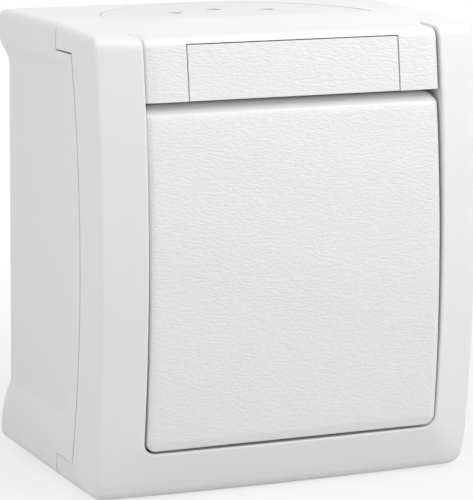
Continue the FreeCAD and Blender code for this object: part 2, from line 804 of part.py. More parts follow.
def make_label_carrier():
    body = new_body("label_carrier")
    outline = front_sketch(body, "outline", RETURN_REAR)
    draw(outline, rectangle(-PLATE_WIDTH, PLATE_WIDTH, STRIP_BOTTOM, TOP))
    pad(body, outline, FRONT_LIMIT - RETURN_REAR)
    bowed_front(body, "front", BOW_CENTRE, ZERO, STRIP_RADIUS, PLATE_WIDTH,
                dim("bevel_width"), dim("bevel_drop"))
    sloped_top(body)
    round_edges(body, "top_front", dim("strip_round"),
                lambda edge: middle(edge).z > STRIP_BOTTOM.number + dim("label_height").number
                and -middle(edge).y > dim("strip_seat").number
                and abs(middle(edge).x) < PLATE_WIDTH.number - dim("side_gap").number)
    under = side_sketch(body, "under_cap")
    cap_floor = TOP_FRONT - dim("strip_cap") + dim("label_gap")
    behind = RETURN_REAR - dim("overrun")
    draw(under, [
        (-behind, cap_floor),
        (-dim("strip_seat"), cap_floor),
        (-dim("strip_seat"), STRIP_BOTTOM - dim("overrun")),
        (-behind, STRIP_BOTTOM - dim("overrun")),
    ])
    pocket_across(body, under)
    recess = front_sketch(body, "label_recess", dim("label_seat"))
    half = dim("label_width") / 2 + dim("label_gap")
    draw(recess, rectangle(-half, half, STRIP_BOTTOM - dim("overrun"),
                           STRIP_BOTTOM + dim("label_height") + dim("label_gap")))
    pocket_forward(body, recess, FRONT_LIMIT)
    return body


def make_label_plate():
    body = new_body("label_plate")
    outline = front_sketch(body, "outline", dim("label_seat"))
    half = dim("label_width") / 2
    draw(outline, rectangle(-half, half, STRIP_BOTTOM, STRIP_BOTTOM + dim("label_height")))
    pad(body, outline, FRONT_LIMIT - dim("label_seat"))
    bowed_front(body, "front", BOW_CENTRE, ZERO, STRIP_RADIUS, PLATE_WIDTH,
                dim("bevel_width"), dim("bevel_drop"))
    return body


def make_rocker():
    """The rocker plate, drawn level and then tilted to its rest, pressed in at the top."""
    body = new_body("rocker")
    low, high = ROCKER_LOW, ROCKER_HIGH
    corner = dim("mouth_corner") - dim("side_gap")
    outline = front_sketch(body, "outline", dim("rocker_rear"))
    draw(outline, [
        (corner - PLATE_WIDTH, low, corner, 1),
        (PLATE_WIDTH - corner, low),
        (PLATE_WIDTH, low + corner, corner, 1),
        (PLATE_WIDTH, high),
        (-PLATE_WIDTH, high),
        (-PLATE_WIDTH, low + corner),
    ])
    pad(body, outline, FRONT_LIMIT - dim("rocker_rear"))
    centre = dim("rocker_crest") - dim("bow_radius")
    bowed_front(body, "front", centre, PIVOT_Z, dim("bow_radius"), PLATE_WIDTH,
                dim("bevel_width"), dim("bevel_drop"))
    bevel = side_sketch(body, "lower_bevel")
    bevel_top = low + dim("bevel_width")
    inner = depth_on_bow(dim("bow_radius"), centre, PIVOT_Z - low - dim("bevel_width"))
    steep = dim("lower_bevel_drop") / dim("bevel_width")
    draw(bevel, [
        (-inner, bevel_top),
        (-FRONT_LIMIT, bevel_top),
        (-FRONT_LIMIT, low - dim("overrun")),
        (steep * (dim("bevel_width") + dim("overrun")) - inner, low - dim("overrun")),
    ])
    pocket_across(body, bevel)
    round_edges(body, "top_front", dim("rocker_round"),
                lambda edge: near(middle(edge).z, high) and -middle(edge).y > dim("rocker_inside").number)
    for side, name in ((-1, "left"), (1, "right")):
        round_corner(body, f"corner_{name}", PLATE_WIDTH * side, high, 1, corner)
    inside = front_sketch(body, "inside", dim("rocker_rear") - dim("overrun"))
    wall = dim("rocker_wall")
    draw(inside, rectangle(wall - PLATE_WIDTH, PLATE_WIDTH - wall, low + wall, high - wall))
    pocket_forward(body, inside, dim("rocker_inside") - dim("rocker_rear") + dim("overrun"))
    clip_rear = dim("rocker_inside") - dim("clip_height")
    reach = dim("cradle_length") / 2 + dim("fit_gap")
    for side, name in ((1, "upper"), (-1, "lower")):
        clip = front_sketch(body, f"clip_{name}", clip_rear)
        near_end = PIVOT_Z + reach * side
        far_end = PIVOT_Z + (reach + dim("clip_thickness")) * side
        draw(clip, rectangle(-dim("clip_length") / 2, dim("clip_length") / 2, near_end, far_end)
             if side > 0 else
             rectangle(-dim("clip_length") / 2, dim("clip_length") / 2, far_end, near_end))
        pad(body, clip, dim("clip_height") + dim("rocker_wall") / 2)
    tilt(body, PIVOT, -dim("rest_tilt"))
    return body


def make_seals():
    ring = {}
    ring["frame_gasket"] = cut(
        "frame_gasket",
        block("gasket_outer", (-SKIRT_WIDTH, SKIRT_WIDTH), (SKIRT_BOTTOM, SKIRT_TOP),
              (dim("gasket_depth"), SKIRT_REAR)),
        [block("gasket_inner", (dim("skirt_wall") - SKIRT_WIDTH, SKIRT_WIDTH - dim("skirt_wall")),
               (SKIRT_BOTTOM + dim("skirt_wall"), SKIRT_TOP - dim("skirt_wall")),
               (dim("gasket_depth") - dim("overrun"), SKIRT_REAR + dim("overrun")))])
    half_x = dim("window_width") / 2
    half_z = dim("window_height") / 2
    lip = dim("skirt_wall")
    front = dim("well_depth") + dim("gasket_height")
    ring["rocker_seal"] = cut(
        "rocker_seal",
        block("seal_outer", (-half_x - lip, half_x + lip), (PIVOT_Z - half_z - lip, PIVOT_Z + half_z + lip),
              (dim("well_depth"), front)),
        [block("seal_inner", (-half_x, half_x), (PIVOT_Z - half_z, PIVOT_Z + half_z),
               (dim("well_depth") - dim("overrun"), front + dim("overrun")))])
    return ring


def make_cable_entry(name, side):
    """Half-round membrane insert with three shallow pierce marks."""
    body = new_body(name)
    front = dim("base_depth")
    gap = dim("entry_gap")
    low = TOP - dim("entry_recess")
    cap = new_sketch(body, "XY_Plane", "cap", (ZERO, ZERO, low * side))
    draw(cap, half_disc_outline(dim("entry_radius") - gap, front - gap, ZERO)[:2])
    feature(body, "Pad", cap, dim("entry_recess") - gap / 2, reverse=side < 0)
    plug = new_sketch(body, "XY_Plane", "plug", (ZERO, ZERO, low * side))
    draw(plug, half_disc_outline(dim("entry_radius") - dim("entry_ledge") - gap, front - gap, ZERO)[:2])
    feature(body, "Pad", plug, dim("entry_plug"), reverse=side > 0)
    floor = TOP - gap / 2 - dim("mark_depth")
    for place, label in ((-1, "left"), (0, "middle"), (1, "right")):
        mark = new_sketch(body, "XY_Plane", f"mark_{label}", (ZERO, ZERO, floor * side))
        angle = dim("mark_angle") * place
        draw_circle(mark, dim("mark_circle") * angle.sine(), dim("mark_circle") * angle.cosine() - front,
                    dim("mark_radius"))
        feature(body, "Pocket", mark, dim("mark_depth") + dim("overrun"), reverse=side > 0)
    return body


def make_mechanism():
    half_x = dim("mech_width") / 2
    half_z = dim("mech_height") / 2
    rear = dim("mech_rear")
    front = dim("mech_front")
    chamber_z = dim("chamber_height") / 2
    over = dim("overrun")
    tabs = []
    holes = []
    tab_x = half_x + dim("tab_length") / 2
    for side, name in ((-1, "left"), (1, "right")):
        ends = (-half_x - dim("tab_length"), -half_x) if side < 0 else (half_x, half_x + dim("tab_length"))
        tabs.append(block(f"tab_{name}", ends,
                          (PIVOT_Z - dim("tab_height") / 2, PIVOT_Z + dim("tab_height") / 2),
                          (rear, rear + dim("tab_thickness"))))
        holes.append(rod_forward(f"tab_hole_{name}", tab_x * side, PIVOT_Z,
                                 (rear - over, rear + dim("tab_thickness") + over),
                                 dim("screw_radius") + dim("fit_gap")))
    housing = block("housing", (-half_x, half_x), (PIVOT_Z - half_z, PIVOT_Z + half_z), (rear, front))
    chamber = block("chamber", (dim("mech_wall") - half_x, half_x - dim("mech_wall")),
                    (PIVOT_Z - chamber_z, PIVOT_Z + chamber_z), (CHAMBER_FLOOR, front + over))
    channel = block("terminal_channel", (-dim("terminal_width") / 2 - dim("side_play"),
                                         dim("terminal_width") / 2 + dim("side_play")),
                    (PIVOT_Z - half_z - over, PIVOT_Z + half_z + over), (CHAMBER_FLOOR, front + over))
    for side, name in ((1, "upper"), (-1, "lower")):
        holes.append(rod_forward(f"terminal_pilot_{name}", ZERO, PIVOT_Z + TERMINAL_Z * side,
                                 (rear - over, front), dim("terminal_screw") + dim("fit_gap")))
    body = cut("mechanism_body", joined("housing_with_tabs", [housing] + tabs), [chamber, channel] + holes)

    cover_z = dim("cover_height") / 2
    plate = block("cover_plate", (-half_x, half_x), (PIVOT_Z - cover_z, PIVOT_Z + cover_z),
                  (front, COVER_FRONT))
    ears = []
    bores = []
    for side, name in ((-1, "left"), (1, "right")):
        ends = (-EAR_OUTER, -EAR_INNER) if side < 0 else (EAR_INNER, EAR_OUTER)
        ears.append(block(f"ear_{name}", ends, (PIVOT_Z - dim("ear_radius"), PIVOT_Z + dim("ear_radius")),
                          (front, PIVOT)))
        ears.append(rod_across(f"ear_round_{name}", ends, PIVOT_Z, PIVOT, dim("ear_radius")))
        bores.append(rod_across(f"ear_bore_{name}", (ends[0] - dim("side_play"), ends[1] + dim("side_play")),
                                PIVOT_Z, PIVOT, dim("trunnion_radius") + dim("fit_gap")))
    slot = block("cover_slot", (-dim("slot_width") / 2, dim("slot_width") / 2),
                 (PIVOT_Z - dim("slot_height") / 2, PIVOT_Z + dim("slot_height") / 2),
                 (front - over, COVER_FRONT + over))
    cover = cut("mechanism_cover", joined("cover_with_ears", [plate] + ears), bores + [slot])
    return {"mechanism_body": body, "mechanism_cover": cover}


def plunger_centre():
    """Distance from the pivot to the centre of the plunger's round tip, resting just off the lever."""
    total = dim("rest_tilt") + LEVER_TILT
    face = dim("lever_round") - dim("fit_gap") * 2 + dim("lever_thickness")
    reach = (PIVOT - dim("lever_depth")) * LEVER_TILT.cosine()
    return (reach - face - dim("plunger_radius") - dim("plunger_gap")) / total.cosine()


def make_cradle():
    """Toggle with trunnions and the plunger's tube, drawn level and then tilted with the rocker."""
    half_z = dim("cradle_length") / 2
    inner = dim("plunger_radius") + dim("fit_gap")
    over = dim("overrun")
    pieces = [
        block("cradle_top", (-CRADLE_WIDTH, CRADLE_WIDTH), (PIVOT_Z - half_z, PIVOT_Z + half_z),
              (CRADLE_REAR, dim("rocker_inside"))),
        rod_forward("tube", ZERO, PIVOT_Z, (dim("tube_end"), dim("rocker_inside")),
                    inner + dim("tube_wall")),
    ]
    for side, name in ((-1, "left"), (1, "right")):
        cheek = (-CRADLE_WIDTH, dim("cheek_thickness") - CRADLE_WIDTH)
        pin = (-EAR_OUTER - dim("side_play"), dim("cheek_thickness") - CRADLE_WIDTH)
        if side > 0:
            cheek = (-cheek[1], -cheek[0])
            pin = (-pin[1], -pin[0])
        pieces.append(block(f"cheek_{name}", cheek,
                            (PIVOT_Z - dim("ear_radius"), PIVOT_Z + dim("ear_radius")),
                            (PIVOT - dim("ear_radius"), dim("rocker_inside"))))
        pieces.append(rod_across(f"trunnion_{name}", pin, PIVOT_Z, PIVOT, dim("trunnion_radius")))
    bore = rod_forward("tube_bore", ZERO, PIVOT_Z, (dim("tube_end") - over, CRADLE_REAR), inner)
    cradle = cut("cradle", joined("cradle_solid", pieces), [bore])
    tilt(cradle, PIVOT, -dim("rest_tilt"))

    tip = PIVOT - plunger_centre()
    shoulder = tip + dim("plunger_length")
    return {"cradle": cradle, "plunger": make_plunger(tip, shoulder),
            "plunger_spring": make_spring(shoulder)}


def make_plunger(tip, shoulder):
    """Pin with a round tip towards the lever, turned about its own axis."""
    body = new_body("plunger")
    radius = dim("plunger_radius")
    profile = new_sketch(body, "XY_Plane", "profile", (ZERO, ZERO, PIVOT_Z))
    draw(profile, [
        (ZERO, radius - tip),
        (radius, -tip, radius, -1),
        (radius, -shoulder),
        (ZERO, -shoulder),
    ])
    turned = body.newObject("PartDesign::Revolution", "plunger_turned")
    turned.Profile = profile
    turned.ReferenceAxis = (profile, ["V_Axis"])
    turned.Angle = FULL_TURN
    tilt(body, PIVOT, -dim("rest_tilt"))
    return body


def make_spring(shoulder):
    """Coil spring of square wire between the plunger and the end of its tube."""
    wire = dim("spring_wire")
    length = CRADLE_REAR - shoulder
    coil = dim("plunger_radius") - wire
    helix = doc.addObject("Part::Helix", "spring_line")
    bind(helix, "Radius", coil)
    bind(helix, "Height", length - wire)
    bind(helix, "Pitch", (length - wire) / dim("spring_turns"))
    section = doc.addObject("Part::RegularPolygon", "spring_section")
    section.Polygon = SQUARE
    bind(section, "Circumradius", wire / as_size(2.0).root())
    bind(section, "Placement.Base.x", coil)
    upright = FreeCAD.Rotation(FreeCAD.Vector(1, 0, 0), 90)
    level = FreeCAD.Rotation(FreeCAD.Vector(0, 0, 1), FULL_TURN / SQUARE / 2)
    section.Placement.Rotation = upright.multiply(level)
    spring = doc.addObject("Part::Sweep", "plunger_spring")
    spring.Sections = [section]
    spring.Spine = (helix, ["Edge1"])
    spring.Solid = True
    spring.Frenet = True
    start = shoulder + wire / 2
    along = FreeCAD.Placement(FreeCAD.Vector(0, -start.number, PIVOT_Z.number), upright)
    centre = FreeCAD.Vector(0, -PIVOT.number, PIVOT_Z.number)
    turn = FreeCAD.Rotation(FreeCAD.Vector(1, 0, 0), -dim("rest_tilt").number)
    spring.Placement = FreeCAD.Placement(FreeCAD.Vector(), turn, centre).multiply(along)
    return spring


def make_contacts():
    """Tipping lever with its contact rivet, and the two terminals with their clamps and screws."""
    half = dim("lever_width") / 2
    pivot = dim("lever_depth")
    under = pivot + dim("lever_round") - dim("fit_gap") * 2
    over = under + dim("lever_thickness")
    reach = dim("lever_length") / 2
    contact_z = PIVOT_Z + dim("contact_offset")
    stem = dim("contact_radius") / 2
    lever_solid = joined("lever_solid", [
        block("lever_strip", (-half, half), (PIVOT_Z - reach, PIVOT_Z + reach), (under, over)),
        rod_across("lever_roll", (-half, half), PIVOT_Z, pivot, dim("lever_round")),
    ])
    rivet_hole = rod_forward("rivet_hole", ZERO, contact_z, (pivot, over + stem), stem)
    lever = cut("contact_lever", lever_solid, [rivet_hole])
    moving = joined("moving_contact_tip", [
        rod_forward("moving_face", ZERO, contact_z, (under - dim("contact_height"), under),
                    dim("contact_radius")),
        rod_forward("moving_stem", ZERO, contact_z, (under, over), stem),
    ])
    for item in (lever, moving):
        tilt(item, pivot, LEVER_TILT)

    width = dim("terminal_width") / 2
    end = dim("mech_height") / 2 - dim("fit_gap")
    seat_z = dim("lever_round") * 2
    hole_radius = dim("terminal_screw") + dim("fit_gap")
    holes = {}
    for side, name in ((-1, "common"), (1, "output")):
        holes[name] = rod_forward(f"{name}_screw_hole", ZERO, PIVOT_Z + TERMINAL_Z * side,
                                  (CHAMBER_FLOOR - dim("overrun"), METAL_TOP + dim("overrun")), hole_radius)
    common = cut("common_terminal", joined("common_solid", [
        block("common_bar", (-width, width), (PIVOT_Z - end, PIVOT_Z + seat_z), (CHAMBER_FLOOR, METAL_TOP)),
        block("lever_seat", (-half, half), (PIVOT_Z - seat_z, PIVOT_Z + seat_z), (METAL_TOP, pivot)),
    ]), [
        rod_across("seat_groove", (-half - dim("side_play"), half + dim("side_play")), PIVOT_Z, pivot,
                   dim("lever_round") + dim("fit_gap")),
        holes["common"],
    ])
    face = pivot + (under - dim("contact_height") - pivot) * LEVER_TILT.cosine()
    closed = face - (dim("contact_offset") + dim("contact_radius")) * LEVER_TILT.sine() - dim("fit_gap")
    post_top = closed - dim("contact_height")
    post = dim("post_width") / 2
    output = cut("output_terminal", joined("output_solid", [
        block("output_bar", (-width, width), (contact_z - post, PIVOT_Z + end), (CHAMBER_FLOOR, METAL_TOP)),
        block("contact_post", (-post, post), (contact_z - post, contact_z + post), (METAL_TOP, post_top)),
    ]), [holes["output"]])
    fixed = rod_forward("fixed_contact_tip", ZERO, contact_z, (post_top, closed), dim("contact_radius"))

    clamps = []
    screws = []
    clamp_top = METAL_TOP + dim("clamp_thickness")
    for side, name in ((-1, "lower"), (1, "upper")):
        z = PIVOT_Z + TERMINAL_Z * side
        reach = dim("terminal_height") / 2
        plate = block(f"clamp_plate_{name}", (-width, width), (z - reach, z + reach), (METAL_TOP, clamp_top))
        hole = rod_forward(f"clamp_hole_{name}", ZERO, z,
                           (METAL_TOP - dim("overrun"), clamp_top + dim("overrun")), hole_radius)
        clamps.append(cut(f"clamp_{name}", plate, [hole]))
        tip = CHAMBER_FLOOR - dim("mech_floor") / 2
        screws.append(screw(f"terminal_screw_{name}", ZERO, z, clamp_top, tip,
                            dim("terminal_screw"), dim("terminal_head")))
    return [lever, moving, common, output, fixed, group("terminal_clamps", clamps),
            group("terminal_screws", screws)]


def screw(name, x, z, seat, tip, shank_radius, head_radius):
    """Slotted screw whose head sits at one depth and whose shank ends at another."""
    top = seat + dim("head_height")
    solid = joined(f"{name}_solid", [
        rod_forward(f"{name}_head", x, z, (seat, top), head_radius),
        rod_forward(f"{name}_shank", x, z, (tip, seat), shank_radius),
    ])
    half = dim("slot_cut") / 2
    slot = block(f"{name}_slot", (x - head_radius * 2, x + head_radius * 2), (z - half, z + half),
                 (top - dim("head_height") / 2, top + dim("overrun")))
    return cut(name, solid, [slot])


def make_case_screws():
    tip_gap = dim("screw_reach") - dim("overrun") / 2
    mech = []
    frame = []
    for side, name in ((-1, "left"), (1, "right")):
        x = (dim("mech_width") + dim("tab_length")) / 2 * side
        mech.append(screw(f"mech_screw_{name}", x, PIVOT_Z, dim("mech_rear") + dim("tab_thickness"),
                          dim("mech_rear") - tip_gap, dim("screw_radius"), dim("screw_head")))
        frame.append(screw(f"frame_screw_{name}", FRAME_SCREW_X * side,
                           PIVOT_Z - dim("frame_screw_z") * side, dim("well_depth"), FLOOR_REAR - tip_gap,
                           dim("screw_radius"), dim("screw_head")))
    return [group("mechanism_screws", mech), group("frame_screws", frame)]


def finish(pieces):
    """Checks every object of the document and writes one file for each piece."""
    doc.recompute()
    for item in doc.Objects:
        if "Invalid" in item.State or "Error" in item.State:
            raise RuntimeError(f"{item.Name} failed: {item.State}")
    os.makedirs("parts", exist_ok=True)
    for item in pieces:
        if item.Shape.isNull() or not item.Shape.isValid():
            raise RuntimeError(f"{item.Label} has no valid shape")
        item.Shape.exportStep(f"parts/{item.Label}.step")
        print(item.Label, round(item.Shape.Volume, 1), len(item.Shape.Solids))


made = [make_base_box(), make_front_frame(), make_label_carrier(), make_label_plate(), make_rocker()]
made += [make_cable_entry("cable_entry_top", 1), make_cable_entry("cable_entry_bottom", -1)]
made += list(make_seals().values())
made += list(make_mechanism().values())
made += list(make_cradle().values())
made += make_contacts()
made += make_case_screws()
finish(made)
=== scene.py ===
"""Surface-mounted weatherproof switch, dressed for a studio picture.

Metres in the scene, in the frame of the solids: X to the right, the front faces -Y, Z up, origin at the
centre of the back face. The shapes are worked out in millimetres, and a depth is a distance from the wall
towards the front, so Y = -depth.
"""
import math
from types import SimpleNamespace

import bmesh
import bpy
from mathutils import Matrix, Vector
from mathutils.geometry import intersect_point_line


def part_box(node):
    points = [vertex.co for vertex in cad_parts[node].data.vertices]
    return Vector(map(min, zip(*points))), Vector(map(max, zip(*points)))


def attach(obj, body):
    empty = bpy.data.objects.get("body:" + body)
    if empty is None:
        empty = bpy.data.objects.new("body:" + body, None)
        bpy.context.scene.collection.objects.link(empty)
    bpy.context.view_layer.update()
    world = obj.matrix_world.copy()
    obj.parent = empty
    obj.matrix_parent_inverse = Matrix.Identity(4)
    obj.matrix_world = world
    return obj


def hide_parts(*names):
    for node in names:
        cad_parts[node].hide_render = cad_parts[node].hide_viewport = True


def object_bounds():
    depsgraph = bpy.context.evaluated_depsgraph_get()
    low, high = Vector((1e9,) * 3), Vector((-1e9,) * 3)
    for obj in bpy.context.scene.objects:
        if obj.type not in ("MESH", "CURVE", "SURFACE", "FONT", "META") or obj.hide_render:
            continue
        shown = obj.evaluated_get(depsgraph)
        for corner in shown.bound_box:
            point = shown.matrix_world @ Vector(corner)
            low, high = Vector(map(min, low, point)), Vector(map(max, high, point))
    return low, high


bl_info = {
    "name": "Weatherproof Switch",
    "version": (1, 0, 0),
    "blender": (4, 5, 0),
    "location": "View3D > Sidebar > Switch",
    "description": "Builds a surface-mounted weatherproof switch and its studio stage",
    "category": "Object",
}

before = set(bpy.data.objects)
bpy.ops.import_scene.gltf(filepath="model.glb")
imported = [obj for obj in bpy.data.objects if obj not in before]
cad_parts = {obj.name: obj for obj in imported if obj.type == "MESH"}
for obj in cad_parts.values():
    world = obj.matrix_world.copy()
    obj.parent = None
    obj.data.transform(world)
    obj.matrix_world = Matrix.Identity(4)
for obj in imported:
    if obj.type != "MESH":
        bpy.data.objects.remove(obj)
CAD_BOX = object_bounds()

MM = 0.001
# Points closer than this, in millimetres, count as one
MERGE = 0.0005
FRAME_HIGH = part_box("front_frame")[1]
DOWN = Vector((0.0, 0.0, -1.0))
BACK = Vector((0.0, 1.0, 0.0))
AHEAD = -BACK
LEFT = Vector((-1.0, 0.0, 0.0))
WHITE = (1.0, 1.0, 1.0, 1.0)
# A corner this close to straight, in radians, isn't rounded
STRAIGHT = 0.01
# How squarely the margins meet at the lower corners: 2 is an even cone, and more is squarer
CORNER_BLEND = 4.0
# How late the frame's edge widens to the rounding of the foot: 1 is evenly, and more is later
FOOT_EASE = 3
# A face counts as front or rear when its normal lies this far along the depth
FACING = 0.85
# Places of extra edges: shares of a rounding's radius, and millimetres on both sides of a soft crease
ROUND_STEPS = (0.04, 0.12, 0.24, 0.4, 0.6, 0.8, 1.0)
BENDS = (-0.6, -0.3, -0.12, 0.0, 0.12, 0.3, 0.6)
# The brow of the rocker bends over this many times that distance
BROW_BENDS = 2.0
# The case draws in towards the wall over this many heights of the foot
TAPER_REACH = 2.0
# Repeats in which the middle of the top edge's rounding settles
PROFILE_REPEATS = 12
# Into how many steps the stretches of the shapes are divided
TOP_EDGE_STEPS = 12
FRONT_STEPS = 36
ROOF_STEPS = 5
MOUTH_STEPS = 5
EDGE_STEPS = 7
LIP_STEPS = 3
CORNER_STEPS = 6
SPAN_STEPS = 4
TOP_CORNER_STEPS = 8
FLARE_STEPS = 8
WAIST_STEPS = 16
STRIP_STEPS = 14
ROCKER_STEPS = 48
DISC_STEPS = 160
MARK_STEPS = (48, 32)


def length(name, description, millimetres):
    """A length property, given in millimetres and kept in metres."""
    return bpy.props.FloatProperty(name=name, description=description, default=millimetres * MM,
                                   unit="LENGTH", precision=5)


def angle(name, description, degrees):
    return bpy.props.FloatProperty(name=name, description=description, default=math.radians(degrees),
                                   subtype="ANGLE")


def colour(name, description, value):
    return bpy.props.FloatVectorProperty(name=name, description=description, default=value, size=3,
                                         subtype="COLOR", min=0.0, max=1.0)


def factor(name, description, value, most=1.0):
    return bpy.props.FloatProperty(name=name, description=description, default=value, min=0.0, max=most,
                                   subtype="FACTOR")


def power(name, description, value):
    return bpy.props.FloatProperty(name=name, description=description, default=value, min=0.0)


class SwitchCaseSizes(bpy.types.PropertyGroup):
    """Sizes of the frame and the box, which share the split between them."""

    half_width: length("Half width", "Half the width of the case", FRAME_HIGH.x / MM)
    half_height: length("Half height", "Half the height of the case", FRAME_HIGH.z / MM)
    base_depth: length("Box depth", "Depth of the box at its top and bottom", 25.9)
    split_gap: length("Split gap", "Gap between box and frame", 0.45)
    step_gap: length("Step gap", "Gap between box and frame at the ends of the split", 0.25)
    split_depth: length("Split depth", "Depth of the bowed split at its crest", 36.65)
    split_radius: length("Split radius", "Radius of the bowed split", 155.0)
    split_drop: length("Split drop", "How far the split's crest lies below the middle", 0.2)
    top_tongue: length("Top tongue", "Height of the frame's tongue over the box", 4.0)
    bottom_tongue: length("Bottom tongue", "Height of the frame's tongue under the box", 4.1)
    crest: length("Crest", "Depth of the bowed front at its crest", 47.55)
    bow: length("Bow radius", "Radius of the bowed front", 235.0)
    mouth: length("Mouth half width", "Half the width of the opening", 25.8)
    mouth_floor: length("Lower margin", "Height of the margin below the opening", 8.1)
    mouth_corner: length("Mouth corner", "Corner radius of the opening", 2.0)
    mouth_edge: length("Mouth edge", "Rounding along the edge of the opening", 0.3)
    margin_rise: length("Margin rise", "How far the margins fall from the opening to the outside", 2.3)
    top_fall: length("Top fall", "How far the top falls towards the front", 1.0)
    top_round: length("Top rounding", "Rounding between top and front", 1.9)
    side_round: length("Side rounding", "Rounding between top and sides", 1.5)
    edge_round: length("Edge rounding", "Rounding between front and sides", 0.9)
    foot_corner: length("Foot corner", "Corner radius at the foot", 1.9)
    foot_round: length("Foot rounding", "Rounding between the lower margin and the underside", 3.0)
    foot_lift: length("Foot lift", "How far the underside rises towards the wall", 1.2)
    foot_bow: length("Foot bow", "How far the underside rises towards the sides", 0.3)
    top_lift: length("Top lift", "How far the top of the box falls towards the wall", 0.25)
    wall: length("Wall", "Wall thickness of the frame", 1.8)
    skin: length("Skin", "Thickness of the frame's front", 2.2)
    roof: length("Roof", "Thickness of the frame's top", 2.5)
    well: length("Well depth", "Depth of the floor behind the rocker", 34.6)
    well_floor: length("Well floor", "Thickness of that floor", 1.6)
    window: length("Window", "Half the width of the window in that floor", 14.5)
    window_reach: length("Window reach", "Half the height of that window", 7.0)
    window_height: length("Window height", "Height of the window's middle", -1.85)
    strip_seat: length("Strip seat", "Depth of the bar behind the label strip", 42.6)
    strip_edge: length("Strip edge", "Height from the top to the lower edge of the label strip", 10.8)
    strip_ledge: length("Strip ledge", "How far the bar shows below the label strip", 0.1)
    strip_return: length("Strip return", "How far the label strip reaches back over the top", 6.2)
    waist_inset: length("Waist", "How far the box is drawn in at its sides", 1.75)
    shoulder_height: length("Shoulder", "Height from the top to the start of the waist", 3.8)
    shoulder_run: length("Shoulder run", "Height of the curve into the waist", 5.7)
    foot_height: length("Foot", "Height of the flared foot", 11.0)
    rim_width: length("Rim", "Width of the flush rim along the split", 2.3)
    rim_ramp: length("Rim ramp", "Width of the slope up to the rim", 1.2)
    rear_wall: length("Rear wall", "Thickness of the rear wall", 2.5)
    box_wall: length("Box wall", "Thickness of the box's upper and lower wall", 2.0)
    back_round: length("Back rounding", "Rounding along the edge on the wall", 0.5)
    lip_round: length("Lip rounding", "Rounding along the edge at the split", 0.2)
    lip: length("Lip", "Width of the lip at the split", 3.75)
    fixing: length("Fixing", "Half the distance between the fixing slots", 26.0)
    fixing_radius: length("Fixing radius", "Half the width of a fixing slot", 2.2)
    fixing_reach: length("Fixing reach", "Half the length of a fixing slot", 4.0)


class SwitchEntrySizes(bpy.types.PropertyGroup):
    """Sizes of the half-round cable entries."""

    radius: length("Radius", "Radius of the seat in the box", 23.2)
    setback: length("Setback", "How far the seat's middle lies behind the front of the box", 1.0)
    recess: length("Recess", "Depth of the seat", 1.2)
    gap: length("Gap", "Gap round the membrane", 0.15)
    mark_radius: length("Mark radius", "Radius of a pierce mark", 1.25)
    mark_depth: length("Mark depth", "Depth of a pierce mark", 0.8)
    mark_circle: length("Mark circle", "Distance of the marks from the split's middle", 12.6)
    mark_spacing: length("Mark spacing", "How far the outer marks lie to the side", 8.35)


class SwitchRockerSizes(bpy.types.PropertyGroup):
    """Sizes of the rocker, drawn level and then tilted to its rest."""

    half_width: length("Half width", "Half the width of the rocker", 25.45)
    reach: length("Reach", "Distance from the pivot to the upper and the lower edge", 26.95)
    crest: length("Crest", "Depth of the front at its crest", 47.4)
    rear: length("Rear", "Depth of the rear edge", 38.0)
    inside: length("Inside", "Depth of the hollow", 44.2)
    wall: length("Wall", "Thickness of the rim", 1.6)
    corner: length("Corner", "Corner radius", 1.65)
    bevel: length("Bevel", "Width of the smooth slopes at the sides", 0.8)
    bevel_drop: length("Bevel drop", "Fall of the side slopes", 0.35)
    foot: length("Foot", "Height of the lower slope", 1.4)
    foot_drop: length("Foot drop", "Fall of the lower slope", 0.45)
    crown: length("Crown", "How far the brow reaches on above the upper edge, under the label strip", 0.9)
    brow: length("Brow", "Height of the slope that leads under the label strip", 1.5)
    brow_drop: length("Brow drop", "Fall of that slope", 2.3)
    brow_crease: length("Brow crease", "Softness of the bend into that slope", 0.4)
    edge_round: length("Edge rounding", "Rounding round the outline", 0.35)
    crease: length("Crease", "Softness of the creases between face and slopes", 0.3)
    pivot_depth: length("Pivot depth", "Depth of the pivot", 41.0)
    pivot_height: length("Pivot height", "Height of the pivot", -1.85)
    bow: length("Bow radius", "Radius of the bowed front", 235.0)


class SwitchStripSizes(bpy.types.PropertyGroup):
    """Sizes of the label strip and of the label in it."""

    half_width: length("Half width", "Half the width of the strip", 25.5)
    step: length("Step", "How far the strip lies below the crest of the frame", 0.4)
    bevel: length("Bevel", "Width of the side slopes", 1.8)
    bevel_drop: length("Bevel drop", "Fall of the side slopes", 0.3)
    crease: length("Crease", "Softness of the creases between face and slopes", 0.5)
    top_round: length("Top rounding", "Rounding between top and front", 1.9)
    edge_round: length("Edge rounding", "Rounding along the sides", 0.5)
    thickness: length("Thickness", "Thickness of the strip", 2.5)
    rear_gap: length("Rear gap", "Gap between the strip and the frame on the top", 0.01)
    label_half: length("Label half width", "Half the width of the label", 18.3)
    label_height: length("Label height", "Height of the label", 8.65)
    label_seat: length("Label seat", "Depth of the label's rear face", 43.3)
    label_gap: length("Label gap", "Gap round the label", 0.2)
    label_round: length("Label rounding", "Rounding along the label's edges", 0.12)


